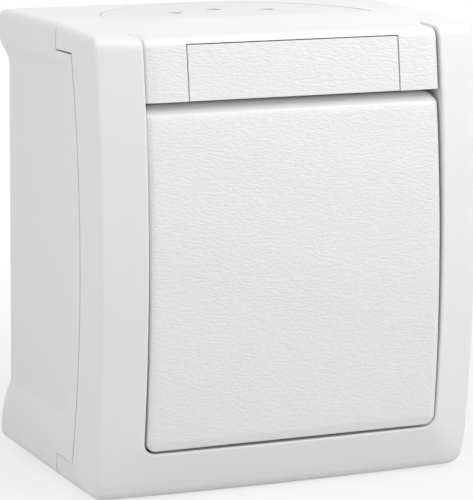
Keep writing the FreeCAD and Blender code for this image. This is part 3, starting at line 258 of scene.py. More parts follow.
class SwitchFinishes(bpy.types.PropertyGroup):
    """Colours of the finishes."""

    case: colour("Case", "Satin plastic of frame and box", (0.83, 0.83, 0.83))
    grained: colour("Grained", "Grained plastic of rocker and strip", (0.81, 0.81, 0.81))
    membrane: colour("Membrane", "Soft plastic of the cable entries", (0.80, 0.80, 0.80))
    # The mark colour is painted shade: a darker grey laid into the dimples of the pierce marks
    mark: colour("Mark", "Thin spots of the cable entries", (0.52, 0.52, 0.53))
    rubber: colour("Rubber", "Seals", (0.03, 0.03, 0.032))
    housing: colour("Housing", "Plastic of the mechanism", (0.10, 0.105, 0.115))
    toggle: colour("Toggle", "Plastic of the cradle and the plunger", (0.62, 0.61, 0.58))
    brass: colour("Brass", "Terminals and lever", (0.72, 0.50, 0.20))
    silver: colour("Silver", "Contact faces", (0.80, 0.80, 0.78))
    steel: colour("Steel", "Screws, clamps and spring", (0.60, 0.60, 0.59))
    floor: colour("Floor", "Floor under the switch", (0.7, 0.7, 0.7))
    grain_depth: factor("Grain depth", "Strength of the leather grain", 0.5)


class SwitchStageSettings(bpy.types.PropertyGroup):
    """Camera and light."""

    azimuth: angle("Azimuth", "Camera direction round the switch", -24.596)
    elevation: angle("Elevation", "Camera height above the horizon", 10.279)
    roll: angle("Roll", "Turn of the camera about its own axis", 0.441)
    distance: length("Distance", "Distance of the camera from its target", 509.72)
    lens: bpy.props.FloatProperty(name="Lens", description="Focal length for a 36 mm sensor",
                                  default=222.74, unit="CAMERA")
    target_depth: length("Target depth", "Depth of the target", 25.0)
    target_height: length("Target height", "Height of the target", 0.675)
    target_right: length("Target right", "Target moved to the right in the picture", -0.6865)
    target_up: length("Target up", "Target moved up in the picture", -2.1656)
    overhead: power("Overhead light", "Power of the light close above the switch", 0.22)
    right: power("Right light", "Power of the light above the front, on the right", 0.78)
    left: power("Left light", "Power of the light beside the left side", 0.123)
    ambient: power("Ambient", "Strength of the surround", 0.5)
    floor_veil: factor("Floor veil", "Share of plain white over the floor beside the switch", 0.7)


class SwitchSettings(bpy.types.PropertyGroup):
    """Everything that a user would change."""

    case: bpy.props.PointerProperty(type=SwitchCaseSizes)
    entry: bpy.props.PointerProperty(type=SwitchEntrySizes)
    rocker: bpy.props.PointerProperty(type=SwitchRockerSizes)
    strip: bpy.props.PointerProperty(type=SwitchStripSizes)
    finishes: bpy.props.PointerProperty(type=SwitchFinishes)
    stage: bpy.props.PointerProperty(type=SwitchStageSettings)
    rest_tilt: angle("Rest tilt", "Tilt of the rocker at rest, pressed in at the top", 1.0)


def mm(group):
    """The lengths of a property group in millimetres."""
    return SimpleNamespace(**{key: getattr(group, key) / MM for key in group.__annotations__})


def at(x, depth, z):
    return Vector((x, -depth, z))


def bow_depth(radius, crest, height):
    """Depth of a bowed surface at a height above the middle of its bow."""
    return crest - radius + math.sqrt(radius * radius - height * height)


def spread(start, stop, steps):
    """Evenly spaced numbers, both ends included."""
    return [start + (stop - start) * index / steps for index in range(steps + 1)]


def blend(first, second, share):
    return first + (second - first) * share


def fillet(corner, first, second, radius, steps):
    """Points of a rounded corner, from the side along first to the side along second."""
    first, second = first.normalized(), second.normalized()
    opening = first.angle(second)
    if radius <= 0.0 or opening > math.pi - STRAIGHT:
        return [corner.copy() for _ in range(steps + 1)]
    middle = (first + second).normalized()
    centre = corner + middle * (radius / math.sin(opening / 2))
    tangent = radius / math.tan(opening / 2)
    start = corner + first * tangent - centre
    stop = corner + second * tangent - centre
    turn = start.angle(stop)
    points = []
    for share in spread(0.0, 1.0, steps):
        weight = math.sin((1.0 - share) * turn) / math.sin(turn)
        other = math.sin(share * turn) / math.sin(turn)
        points.append(centre + start * weight + stop * other)
    return points


def loft(bm, rows):
    """Lays a grid through rows of points."""
    made = bmesh.ops.create_grid(bm, x_segments=len(rows[0]) - 1, y_segments=len(rows) - 1, size=1.0)
    points = [point for row in rows for point in row]
    for vert, point in zip(made["verts"], points):
        vert.co = point


def everything(bm):
    return bm.verts[:] + bm.edges[:] + bm.faces[:]


def add_box(bm, low, high):
    """Adds a box between two corners given as X, depth and Z."""
    middle = at(*[(a + b) / 2 for a, b in zip(low, high)])
    size = [abs(b - a) for a, b in zip(low, high)]
    bmesh.ops.create_cube(bm, size=1.0, matrix=Matrix.Translation(middle) @ Matrix.Diagonal((*size, 1.0)))


def grow(bm, faces, travel, keep=False):
    """Draws faces out of a shape, and keeps them where they were if asked."""
    grown = bmesh.ops.extrude_face_region(bm, geom=faces, use_keep_orig=keep)
    moved = [item for item in grown["geom"] if isinstance(item, bmesh.types.BMVert)]
    bmesh.ops.translate(bm, vec=travel, verts=moved)


def prism(half_width, low, high, corner, rear, front, segments=8):
    """A closed slab with rounded upright corners between two depths."""
    bm = bmesh.new()
    bmesh.ops.create_grid(bm, x_segments=1, y_segments=1, size=1.0)
    for vert in bm.verts:
        vert.co = at(vert.co.x * half_width, front, (low + high) / 2 + vert.co.y * (high - low) / 2)
    if corner > 0.0:
        bmesh.ops.bevel(bm, geom=bm.verts[:], offset=corner, offset_type="OFFSET", affect="VERTICES",
                        segments=segments, profile=0.5, material=-1)
    grow(bm, bm.faces[:], (0.0, front - rear, 0.0), keep=True)
    bmesh.ops.recalc_face_normals(bm, faces=bm.faces[:])
    return bm


def disc(radius, thickness, middle):
    """A closed round slab about an upright axis."""
    bm = bmesh.new()
    bmesh.ops.create_cone(bm, cap_ends=True, segments=DISC_STEPS, radius1=radius, radius2=radius,
                          depth=thickness, matrix=Matrix.Translation(middle))
    return bm


def slice_across(bm, axis, places):
    """Cuts new edges along planes, so that the faces can follow a curve."""
    normal = Vector((0.0, 0.0, 0.0))
    normal[axis] = 1.0
    for place in places:
        bmesh.ops.bisect_plane(bm, geom=everything(bm), dist=MERGE, plane_co=normal * place, plane_no=normal)


def add_mesh(name, bm):
    """Makes an object of a shape and puts it in the scene."""
    mesh = bpy.data.meshes.new(name)
    bm.to_mesh(mesh)
    bm.free()
    item = bpy.data.objects.new(name, mesh)
    bpy.context.scene.collection.objects.link(item)
    return item


def carved(bm, tools):
    """Cuts closed tools out of a closed shape."""
    target = add_mesh("target", bm)
    items = [add_mesh("tool", tool) for tool in tools]
    for item in items:
        cut = target.modifiers.new("cut", "BOOLEAN")
        cut.operation = "DIFFERENCE"
        cut.solver = "EXACT"
        cut.object = item
    graph = bpy.context.evaluated_depsgraph_get()
    result = bmesh.new()
    result.from_mesh(target.evaluated_get(graph).to_mesh())
    for item in [target, *items]:
        mesh = item.data
        bpy.data.objects.remove(item)
        bpy.data.meshes.remove(mesh)
    return result


def tidy(bm):
    """Merges what coincides and turns the faces outwards."""
    bmesh.ops.remove_doubles(bm, verts=bm.verts[:], dist=MERGE)
    bmesh.ops.dissolve_degenerate(bm, edges=bm.edges[:], dist=MERGE)
    bmesh.ops.recalc_face_normals(bm, faces=bm.faces[:])


def add_right_half(bm):
    """Mirrors the left half and merges both in the middle."""
    bmesh.ops.mirror(bm, geom=everything(bm), axis="X", merge_dist=MERGE)
    tidy(bm)


def close_ends(bm):
    """Fills what is open and turns the faces outwards."""
    bmesh.ops.holes_fill(bm, edges=[edge for edge in bm.edges if edge.is_boundary], sides=0)
    bmesh.ops.recalc_face_normals(bm, faces=bm.faces[:])


def close_seams(bm):
    """Splits open edges where an open corner lies on them, so that the sides of a seam share corners."""
    corners = [vert.co.copy() for vert in bm.verts if vert.is_boundary]
    for corner in corners:
        for edge in [item for item in bm.edges if item.is_boundary]:
            start, end = edge.verts
            nearest, share = intersect_point_line(corner, start.co, end.co)
            inside = min(share, 1.0 - share) * edge.calc_length() > MERGE
            if inside and (nearest - corner).length < MERGE:
                bmesh.utils.edge_split(edge, start, share)
    tidy(bm)


def add_piece(name, bm, body, nodes, materials, sharp=30.0):
    """Makes an object of a finished shape, in metres, that stands for solids and rides on their body."""
    bmesh.ops.scale(bm, vec=(MM, MM, MM), verts=bm.verts[:])
    piece = add_mesh(name, bm)
    for material in materials:
        piece.data.materials.append(material)
    piece.data.shade_smooth()
    piece.data.set_sharp_from_angle(angle=math.radians(sharp))
    even = piece.modifiers.new("even_normals", "WEIGHTED_NORMAL")
    even.keep_sharp = True
    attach(piece, body)
    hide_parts(*nodes)


# Moulded finishes: the colour that each takes, its roughness and its relief in millimetres
PLASTICS = {
    "satin_case": ("case", 0.40, 0.004),
    "smooth_slopes": ("grained", 0.36, 0.003),
    "membrane": ("membrane", 0.55, 0.006),
    # The pierce marks' finish is painted shade: a darker grey in their dimples
    "thin_mark": ("mark", 0.55, 0.006),
    "seal_rubber": ("rubber", 0.7, 0.01),
    "housing": ("housing", 0.5, 0.008),
    "toggle": ("toggle", 0.38, 0.004),
}
# Plated and bare metal: the colour that each takes, its roughness and how much its colour varies
METALS = {
    "brass": ("brass", 0.3, 0.05),
    "silver": ("silver", 0.28, 0.04),
    "steel": ("steel", 0.32, 0.05),
}
# Their texture: fine cells per millimetre on plastic and on metal, and broad ones for the colour
PLASTIC_CELLS = 2.2
METAL_CELLS = 4.0
BROAD_CELLS = 0.06
# Detail of the fine cells, relief of metal in millimetres, and how far colour and roughness vary
FINE_DETAIL = 3.0
METAL_RELIEF = 0.004
PLASTIC_SHIFT = 0.012
ROUGHNESS_SWING = 0.05
# Leather grain: tilt of the creases, cells per millimetre along X, Y and Z, and relief in millimetres
GRAIN_TILT = math.radians(-6.0)
GRAIN_SCALE = (1.15, 1.15, 3.1)
GRAIN_RELIEF = 0.13
# How fast the creases wander and how softly they meet, and the roughness in them and between them
GRAIN_SWIRL = 0.8
GRAIN_SOFTNESS = 0.5
GRAIN_ROUGHNESS = (0.42, 0.5)
# Broad cells per millimetre of its colour, and how far the colour varies
GRAIN_BROAD_CELLS = 0.08
GRAIN_SHIFT = 0.01


def node_of(tree, kind):
    return next(node for node in tree.nodes if node.type == kind)


def new_material(name):
    """A material with a shader and millimetre coordinates of the piece."""
    material = bpy.data.materials.new(name)
    material.use_nodes = True
    tree = material.node_tree
    shader = node_of(tree, "BSDF_PRINCIPLED")
    place = tree.nodes.new("ShaderNodeTexCoord")
    scaled = tree.nodes.new("ShaderNodeMapping")
    scaled.inputs["Scale"].default_value = (1.0 / MM, 1.0 / MM, 1.0 / MM)
    tree.links.new(place.outputs["Object"], scaled.inputs["Vector"])
    return material, tree, shader, scaled.outputs["Vector"]


def add_noise(tree, vector, cells_per_mm, detail=2.0):
    noise = tree.nodes.new("ShaderNodeTexNoise")
    noise.inputs["Scale"].default_value = cells_per_mm
    noise.inputs["Detail"].default_value = detail
    tree.links.new(vector, noise.inputs["Vector"])
    return noise.outputs["Fac"]


def add_range(tree, value, low, high):
    """Stretches a value from 0..1 to a range."""
    node = tree.nodes.new("ShaderNodeMapRange")
    node.inputs["To Min"].default_value = low
    node.inputs["To Max"].default_value = high
    tree.links.new(value, node.inputs["Value"])
    return node.outputs["Result"]


def tint(tree, shader, value, base, shift):
    """Colour that varies a little with a value."""
    mix = tree.nodes.new("ShaderNodeMix")
    mix.data_type = "RGBA"
    mix.inputs["A"].default_value = (*[part * (1.0 - shift) for part in base], 1.0)
    mix.inputs["B"].default_value = (*[min(part * (1.0 + shift), 1.0) for part in base], 1.0)
    tree.links.new(value, mix.inputs["Factor"])
    tree.links.new(mix.outputs["Result"], shader.inputs["Base Color"])


def bump(tree, shader, height, relief_mm, strength=1.0):
    node = tree.nodes.new("ShaderNodeBump")
    node.inputs["Distance"].default_value = relief_mm * MM
    node.inputs["Strength"].default_value = strength
    tree.links.new(height, node.inputs["Height"])
    tree.links.new(node.outputs["Normal"], shader.inputs["Normal"])


def moulded(name, base, roughness, relief_mm, cells_per_mm=PLASTIC_CELLS, shift=PLASTIC_SHIFT, metallic=0.0):
    """Moulded or plated finish with a faint texture."""
    material, tree, shader, vector = new_material(name)
    shader.inputs["Metallic"].default_value = metallic
    fine = add_noise(tree, vector, cells_per_mm, FINE_DETAIL)
    broad = add_noise(tree, vector, BROAD_CELLS)
    tint(tree, shader, broad, base, shift)
    varied = add_range(tree, fine, roughness - ROUGHNESS_SWING, roughness + ROUGHNESS_SWING)
    tree.links.new(varied, shader.inputs["Roughness"])
    bump(tree, shader, fine, relief_mm)
    return material


def leather_grain(name, base, depth):
    """White plastic with a fine leather grain: short creases that lie almost level."""
    material, tree, shader, vector = new_material(name)
    turned = tree.nodes.new("ShaderNodeMapping")
    turned.inputs["Rotation"].default_value = (0.0, GRAIN_TILT, 0.0)
    tree.links.new(vector, turned.inputs["Vector"])
    stretch = tree.nodes.new("ShaderNodeMapping")
    stretch.inputs["Scale"].default_value = GRAIN_SCALE
    tree.links.new(turned.outputs["Vector"], stretch.inputs["Vector"])
    swirl = tree.nodes.new("ShaderNodeTexNoise")
    swirl.inputs["Scale"].default_value = GRAIN_SWIRL
    tree.links.new(stretch.outputs["Vector"], swirl.inputs["Vector"])
    push = tree.nodes.new("ShaderNodeVectorMath")
    push.operation = "ADD"
    tree.links.new(swirl.outputs["Color"], push.inputs[0])
    tree.links.new(stretch.outputs["Vector"], push.inputs[1])
    cells = tree.nodes.new("ShaderNodeTexVoronoi")
    cells.feature = "SMOOTH_F1"
    cells.inputs["Scale"].default_value = 1.0
    cells.inputs["Smoothness"].default_value = GRAIN_SOFTNESS
    tree.links.new(push.outputs["Vector"], cells.inputs["Vector"])
    raised = add_range(tree, cells.outputs["Distance"], 1.0, 0.0)
    tint(tree, shader, add_noise(tree, vector, GRAIN_BROAD_CELLS), base, GRAIN_SHIFT)
    varied = add_range(tree, cells.outputs["Distance"], *GRAIN_ROUGHNESS)
    tree.links.new(varied, shader.inputs["Roughness"])
    bump(tree, shader, raised, GRAIN_RELIEF, depth)
    return material


def finish(key):
    """A finish by its name, made once."""
    made = bpy.data.materials.get(key)
    if made is not None:
        return made
    colours = bpy.context.scene.switch.finishes
    if key == "leather_grain":
        return leather_grain(key, colours.grained, colours.grain_depth)
    if key in METALS:
        tone, roughness, shift = METALS[key]
        return moulded(key, getattr(colours, tone), roughness, METAL_RELIEF, METAL_CELLS, shift, metallic=1.0)
    tone, roughness, relief_mm = PLASTICS[key]
    return moulded(key, getattr(colours, tone), roughness, relief_mm)


def split_at(case, height, inner):
    """Depth of the bowed split at a height, on the frame's side or on the box's side."""
    radius = case.split_radius - (case.split_gap if inner else 0.0)
    centre = case.split_depth - case.split_radius
    rise = height + case.split_drop
    return centre + math.sqrt(radius * radius - rise * rise)


class TopProfile:
    """Side view of one line of the front: along the top, round the top edge and down the bowed front."""

    def __init__(self, case, radius, rounding):
        self.case = case
        self.radius = radius
        self.centre = case.crest - case.bow
        self.front_corner = bow_depth(case.bow, case.crest, case.half_height)
        self.tongue = case.base_depth + case.split_gap
        self.slope = math.atan(case.top_fall / (self.front_corner - self.tongue))
        depth = self.front_corner - rounding
        for _ in range(PROFILE_REPEATS):
            height = self.top(depth) - rounding / math.cos(self.slope)
            depth = self.centre + math.sqrt((radius - rounding) ** 2 - height ** 2)
        self.arc_depth, self.arc_height, self.rounding = depth, height, rounding
        self.arc_start = math.pi / 2 - self.slope
        self.arc_stop = math.atan2(height, depth - self.centre)

    def top(self, depth):
        return self.case.half_height - math.tan(self.slope) * (depth - self.tongue)

    def top_end(self):
        return self.arc_depth + self.rounding * math.sin(self.slope)

    def on_arc(self, share):
        """Depth and height on the rounding."""
        turn = blend(self.arc_start, self.arc_stop, share)
        depth = self.arc_depth + self.rounding * math.cos(turn)
        return depth, self.arc_height + self.rounding * math.sin(turn)

    def front(self, height):
        return self.centre + math.sqrt(self.radius ** 2 - height ** 2)


def margin_depth(case, x, z):
    """Depth of the frame's outer edge: the margins fall outwards and blend round the lower corners."""
    across = max(-x - case.mouth, 0.0) / (case.half_width - case.mouth)
    below = max(case.mouth_floor - case.half_height - z, 0.0) / case.mouth_floor
    fall = case.margin_rise * (across ** CORNER_BLEND + below ** CORNER_BLEND) ** (1.0 / CORNER_BLEND)
    return bow_depth(case.bow - fall, case.crest - fall, z)


def taper(case, bm):
    """Draws the case in a little towards the wall, and its underside up towards the sides."""
    start = case.half_height - case.foot_height * TAPER_REACH
    for vert in bm.verts:
        x, depth, z = vert.co.x, -vert.co.y, vert.co.z
        share = max(abs(z) - start, 0.0) / (case.half_height - start)
        rearward = max(1.0 - depth / case.split_depth, 0.0)
        if z < 0.0:
            lift = case.foot_lift * rearward + case.foot_bow * (x / case.half_width) ** 2
        else:
            lift = -case.top_lift * rearward
        vert.co.z += lift * share


def frame_spot(inner, outer, inward, rear, floor, rounding, roof=False):
    """A place along the frame: both edges of the margin, the way in, the rear edge and the mouth's floor."""
    return SimpleNamespace(inner=inner, outer=outer, inward=inward, rear=rear, floor=floor, rounding=rounding,
                           roof=roof)


def frame_ring(case, spot):
    """Closed section of the frame at one place along its path."""
    across = Vector((spot.inner.x - spot.outer.x, 0.0, spot.inner.z - spot.outer.z))
    across = -LEFT if spot.roof else across.normalized()
    margin = spot.inner - spot.outer
    mouth = fillet(spot.inner, spot.inward, -margin, 0.0 if spot.roof else case.mouth_edge, MOUTH_STEPS)
    edge = fillet(spot.outer, margin, spot.inward, spot.rounding, EDGE_STEPS)
    between = [mouth[-1].lerp(edge[0], share) for share in spread(0.0, 1.0, SPAN_STEPS)[1:-1]]
    if spot.roof:
        behind = [spot.inner + spot.inward * case.roof, spot.floor + spot.inward * case.roof]
    else:
        behind = [spot.inner + spot.inward * case.skin - across * case.wall, spot.floor - across * case.wall]
    return [spot.floor, *mouth, *between, *edge, spot.rear, spot.rear + across * case.wall,
            spot.outer + spot.inward * case.skin + across * case.wall, *behind, spot.floor]


class FramePath:
    """Places along the left half of the frame: over the top, down the front, round the foot to the middle."""

    def __init__(self, case):
        self.case = case
        self.tongue = case.base_depth + case.split_gap
        self.inner = TopProfile(case, case.bow, case.top_round)
        self.outer = TopProfile(case, case.bow - case.margin_rise, case.top_round)
        self.notch = self.inner.front_corner - case.strip_return
        self.low_split = case.bottom_tongue - case.half_height
        self.top_split = case.half_height - case.top_tongue
        self.step = split_at(case, self.top_split, False)
        self.hub = at(case.mouth_corner - case.mouth, 0.0,
                      case.mouth_floor + case.mouth_corner - case.half_height)

    def rear_on_top(self, depth):
        """The tongue's lower edge, drawn out evenly below the top."""
        share = (depth - self.tongue) / (self.outer.top_end() - self.tongue)
        return at(-self.case.half_width, blend(self.tongue, self.step, min(share, 1.0)), self.top_split)

    def top(self):
        """Over the top: from side to side as far as the label strip, and beside the strip from there."""
        case, inner, outer = self.case, self.inner, self.outer
        spots = []
        for depth in spread(self.tongue, self.notch, ROOF_STEPS):
            height = inner.top(depth)
            spots.append(frame_spot(at(-case.mouth, depth, height), at(-case.half_width, depth, height), DOWN,
                                    self.rear_on_top(depth), at(0.0, depth, height), case.side_round,
                                    roof=True))
        for share in (0.0, 1.0):
            near = blend(self.notch, inner.top_end(), share)
            far = blend(self.notch, outer.top_end(), share)
            height = inner.top(near)
            spots.append(frame_spot(at(-case.mouth, near, height), at(-case.half_width, far, outer.top(far)),
                                    DOWN, self.rear_on_top(far), at(-case.mouth, near, height - case.roof),
                                    blend(case.side_round, case.edge_round, share)))
        return spots

    def top_edge(self, floor):
        """Round the top edge, where all sections share their floor and their rear corner."""
        case = self.case
        corner = at(-case.half_width, self.step, self.top_split)
        return [frame_spot(at(-case.mouth, *self.inner.on_arc(share)),
                           at(-case.half_width, *self.outer.on_arc(share)), DOWN.slerp(BACK, share), corner,
                           floor, case.edge_round)
                for share in spread(0.0, 1.0, TOP_EDGE_STEPS)[1:]]

    def front(self):
        """Down the front, beside the mouth."""
        case = self.case
        return [frame_spot(at(-case.mouth, self.inner.front(height), height),
                           at(-case.half_width, self.outer.front(height), height), BACK,
                           at(-case.half_width, split_at(case, height, False), height),
                           at(-case.mouth, case.well, height), case.edge_round)
                for height in spread(self.top_split, self.hub.z, FRONT_STEPS)]

    def foot_outline(self):
        """Round the lower corner of the case: X, Z and whether the tongue lies there."""
        width, height, corner = self.case.half_width, self.case.half_height, self.case.foot_corner
        path = [(-width, z, False) for z in spread(self.hub.z, self.low_split, SPAN_STEPS)[1:]]
        path += [(-width, z, True) for z in (self.low_split, corner - height)]
        path += [(corner - width - corner * math.cos(turn), corner - height - corner * math.sin(turn), True)
                 for turn in spread(0.0, math.pi / 2, CORNER_STEPS)[1:]]
        path += [(x, -height, True) for x in spread(corner - width, self.hub.x, SPAN_STEPS)[1:]]
        return path

    def foot(self):
        """Round the lower corner and below the mouth."""
        case, hub = self.case, self.hub
        spots = []
        for x, z, tongued in self.foot_outline():
            away = Vector((x - hub.x, 0.0, z - hub.z)).normalized() * case.mouth_corner
            near = at(hub.x + away.x, self.inner.front(hub.z + away.z), hub.z + away.z)
            rear = self.tongue if tongued else split_at(case, z, False)
            share = ((hub.z - z) / (hub.z + case.half_height)) ** FOOT_EASE
            spots.append(frame_spot(near, at(x, margin_depth(case, x, z), z), BACK, at(x, rear, z),
                                    at(near.x, case.well, near.z),
                                    blend(case.edge_round, case.foot_round, share)))
        low, under = hub.z - case.mouth_corner, -case.half_height
        for x in spread(hub.x, 0.0, SPAN_STEPS)[1:]:
            spots.append(frame_spot(at(x, self.inner.front(low), low),
                                    at(x, margin_depth(case, x, under), under), BACK,
                                    at(x, self.tongue, under), at(x, case.well, low), case.foot_round))
        return spots

    def spots(self):
        top = self.top()
        return top + self.top_edge(top[-1].floor) + self.front() + self.foot()


def well_boxes(case):
    """Corners of the bar behind the label strip and of the pieces of floor round the well's window."""
    rear = case.well - case.well_floor
    low = case.mouth_floor - case.half_height
    bar_low = case.half_height - case.strip_edge - case.strip_ledge
    bar_high = case.half_height - case.top_fall - case.roof - case.strip_ledge
    sill, lintel = case.window_height - case.window_reach, case.window_height + case.window_reach
    boxes = [((-case.mouth, rear, bar_low), (case.mouth, case.strip_seat, bar_high)),
             ((-case.mouth, rear, low), (case.mouth, case.well, sill)),
             ((-case.mouth, rear, lintel), (case.mouth, case.well, bar_low))]
    for side in (-1.0, 1.0):
        boxes.append(((side * case.window, rear, sill), (side * case.mouth, case.well, lintel)))
    return boxes


def frame_shape(case):
    """The whole frame: swept margins and top, the bar behind the strip and the floor of the well."""
    bm = bmesh.new()
    loft(bm, [frame_ring(case, spot) for spot in FramePath(case).spots()])
    bmesh.ops.remove_doubles(bm, verts=bm.verts[:], dist=MERGE)
    tongue = case.base_depth + case.split_gap
    rim = [edge for edge in bm.edges if edge.is_boundary
           and all(abs(vert.co.y + tongue) < MERGE for vert in edge.verts)
           and not all(abs(vert.co.x) < MERGE for vert in edge.verts)]
    bmesh.ops.contextual_create(bm, geom=rim + list({vert for edge in rim for vert in edge.verts}))
    middle = [face for face in bm.faces if all(abs(vert.co.x) < MERGE for vert in face.verts)]
    bmesh.ops.delete(bm, geom=middle, context="FACES")
    add_right_half(bm)
    for low, high in well_boxes(case):
        add_box(bm, low, high)
    taper(case, bm)
    return bm


class SWITCH_OT_frame(bpy.types.Operator):
    """Builds the bowed frame with its sloping margins"""

    bl_idname = "switch.frame"
    bl_label = "Frame"

    def execute(self, context):
        case = mm(context.scene.switch.case)
        add_piece("frame_cover", frame_shape(case), "case", ["front_frame"],
                  [finish("satin_case")])
        return {"FINISHED"}


def split_ends(case):
    """Heights at which the box steps back for the frame's tongues, below and above."""
    return (case.bottom_tongue + case.step_gap - case.half_height,
            case.half_height - case.top_tongue - case.step_gap)


def bend_radius(run, rise):
    """Radius of a curve that starts along its run and leaves it by a rise."""
    return (run ** 2 + rise ** 2) / (2 * rise)


def round_spots(x, z, radius, turns):
    """Places on a curve about a centre: X, Z and the normal. A hollow curve has a negative radius."""
    return [(x + radius * math.cos(turn), z + radius * math.sin(turn), math.cos(turn), math.sin(turn))
            for turn in turns]


def box_outline(case):
    """Left half of the box's outline: above the split, along it and below it, each as X, Z and the normal."""
    width, height, inset = case.half_width, case.half_height, case.waist_inset
    corner, foot, waist = case.side_round, case.foot_corner, width - inset
    low, high = split_ends(case)
    shoulder = height - case.shoulder_height
    waist_top, waist_low = shoulder - case.shoulder_run, case.foot_height - height
    foot_turn = foot - height
    curve = bend_radius(case.shoulder_run / 2, inset / 2)
    flare = bend_radius(waist_low - foot_turn, inset)
    up, left, under = math.pi / 2, math.pi, math.pi * 3 / 2
    shoulder_step = left + math.asin((shoulder - high) / curve)
    shoulder_stop = left + math.asin(case.shoulder_run / 2 / curve)
    flare_start = left - math.asin((waist_low - foot_turn) / flare)
    flare_step = left - math.asin((low - foot_turn) / flare)

    above = [(x, height, 0.0, 1.0) for x in spread(0.0, corner - width, CORNER_STEPS)]
    above += round_spots(corner - width, height - corner, corner, spread(up, left, TOP_CORNER_STEPS)[1:])
    above += round_spots(curve - width, shoulder, curve, spread(left, shoulder_step, LIP_STEPS))
    along = round_spots(curve - width, shoulder, curve, spread(shoulder_step, shoulder_stop, SPAN_STEPS))
    along += round_spots(-waist - curve, waist_top, -curve, spread(shoulder_stop, left, CORNER_STEPS)[1:])
    along += [(-waist, z, -1.0, 0.0) for z in spread(waist_top, waist_low, WAIST_STEPS)[1:]]
    along += round_spots(flare - width, foot_turn, flare, spread(flare_start, flare_step, FLARE_STEPS))
    below = round_spots(flare - width, foot_turn, flare, spread(flare_step, left, LIP_STEPS))
    below += round_spots(foot - width, foot_turn, foot, spread(left, under, CORNER_STEPS)[1:])
    below += [(x, -height, 0.0, -1.0) for x in spread(foot - width, 0.0, CORNER_STEPS)[1:]]
    return above, along, below


def box_row(case, place, normal, on_split):
    """Section of the box at one place of its outline, from the back to the inner floor."""
    front = split_at(case, place.z, True) if on_split else case.base_depth
    rim = at(-case.half_width, 0.0, place.z) if on_split else place
    outward = LEFT if on_split else normal
    back = fillet(place, -normal, AHEAD, case.back_round, SPAN_STEPS)
    ramp = front - case.rim_width - case.rim_ramp
    row = back + [place + AHEAD * depth for depth in spread(-back[-1].y, ramp, SPAN_STEPS)[1:]]
    row.append(rim + AHEAD * (front - case.rim_width))
    row += fillet(rim + AHEAD * front, BACK, -outward, case.lip_round, LIP_STEPS)
    low, high = split_ends(case)
    inside = at(max(place.x, case.lip - case.half_width), 0.0,
                min(max(place.z, low + case.box_wall), high - case.box_wall))
    return row + [inside + AHEAD * front, inside + AHEAD * case.rear_wall]


def box_shape(case, entry):
    """The rear box: waisted sides, flush rim, seats for the cable entries and fixing slots."""
    rows = []
    for spots, on_split in zip(box_outline(case), (False, True, False)):
        for x, z, normal_x, normal_z in spots:
            rows.append(box_row(case, at(x, 0.0, z), Vector((normal_x, 0.0, normal_z)), on_split))
    bm = bmesh.new()
    loft(bm, rows)
    add_right_half(bm)
    close_seams(bm)
    close_ends(bm)
    tools = []
    for side in (1.0, -1.0):
        slot = prism(case.fixing_radius, case.fixing * side - case.fixing_reach,
                     case.fixing * side + case.fixing_reach, case.fixing_radius - MERGE,
                     -case.rear_wall, case.rear_wall * 2)
        middle = at(0.0, case.base_depth - entry.setback,
                    side * (case.half_height - entry.recess + case.rear_wall))
        tools += [slot, disc(entry.radius, case.rear_wall * 2, middle)]
    bm = carved(bm, tools)
    close_seams(bm)
    taper(case, bm)
    return bm


class SWITCH_OT_box(bpy.types.Operator):
    """Builds the waisted rear box"""

    bl_idname = "switch.box"
    bl_label = "Rear box"

    def execute(self, context):
        settings = context.scene.switch
        bm = box_shape(mm(settings.case), mm(settings.entry))
        add_piece("rear_box", bm, "case", ["base_box"], [finish("satin_case")], sharp=24.0)
        return {"FINISHED"}


def entry_shape(case, entry, side):
    """Half-round membrane with three pierce marks, whose dimples are painted darker as shade."""
    top = case.half_height - entry.gap / 2
    thickness = entry.recess - entry.gap / 2
    middle = at(0.0, case.base_depth - entry.setback, side * (top - thickness / 2))
    bm = disc(entry.radius - entry.gap, thickness, middle)
    front = at(0.0, case.base_depth - entry.gap, 0.0)
    cut = bmesh.ops.bisect_plane(bm, geom=everything(bm), dist=MERGE, plane_co=front,
                                 plane_no=AHEAD, clear_outer=True)
    edges = [item for item in cut["geom_cut"] if isinstance(item, bmesh.types.BMEdge)]
    bmesh.ops.contextual_create(bm, geom=edges)
    bmesh.ops.recalc_face_normals(bm, faces=bm.faces[:])
    tools = []
    ball = bend_radius(entry.mark_radius, entry.mark_depth)
    for x in (-entry.mark_spacing, 0.0, entry.mark_spacing):
        tool = bmesh.new()
        place = at(x, case.base_depth - math.sqrt(entry.mark_circle ** 2 - x ** 2),
                   side * (top + ball - entry.mark_depth))
        bmesh.ops.create_uvsphere(tool, u_segments=MARK_STEPS[0], v_segments=MARK_STEPS[1], radius=ball,
                                  matrix=Matrix.Translation(place))
        tools.append(tool)
    bm = carved(bm, tools)
    # Dimple faces that face out of the membrane take the darker mark colour: painted shade in the recesses
    for face in bm.faces:
        middle = face.calc_center_median()
        in_mark_shade = abs(middle.z) < top - MERGE and -middle.y < case.base_depth - entry.gap - MERGE
        face.material_index = 1 if in_mark_shade and face.normal.z * side > 0.0 else 0
    taper(case, bm)
    return bm


class SWITCH_OT_entries(bpy.types.Operator):
    """Builds the cable entries at the top and the bottom"""

    bl_idname = "switch.entries"
    bl_label = "Cable entries"

    def execute(self, context):
        settings = context.scene.switch
        for name, node, side in (("top_membrane", "cable_entry_top", 1.0),
                                 ("bottom_membrane", "cable_entry_bottom", -1.0)):
            bm = entry_shape(mm(settings.case), mm(settings.entry), side)
            add_piece(name, bm, "case", [node], [finish("membrane"), finish("thin_mark")])
        return {"FINISHED"}


def soft_positive(value, softness):
    """Zero below zero and the value above it, with a rounded bend."""
    return (value + math.sqrt(value * value + softness * softness)) / 2


def quarter_drop(radius, share):
    """Fall of a quarter round from its flat side, share 0, to its edge, share 1."""
    return radius * (1.0 - math.sqrt(max(1.0 - share * share, 0.0)))


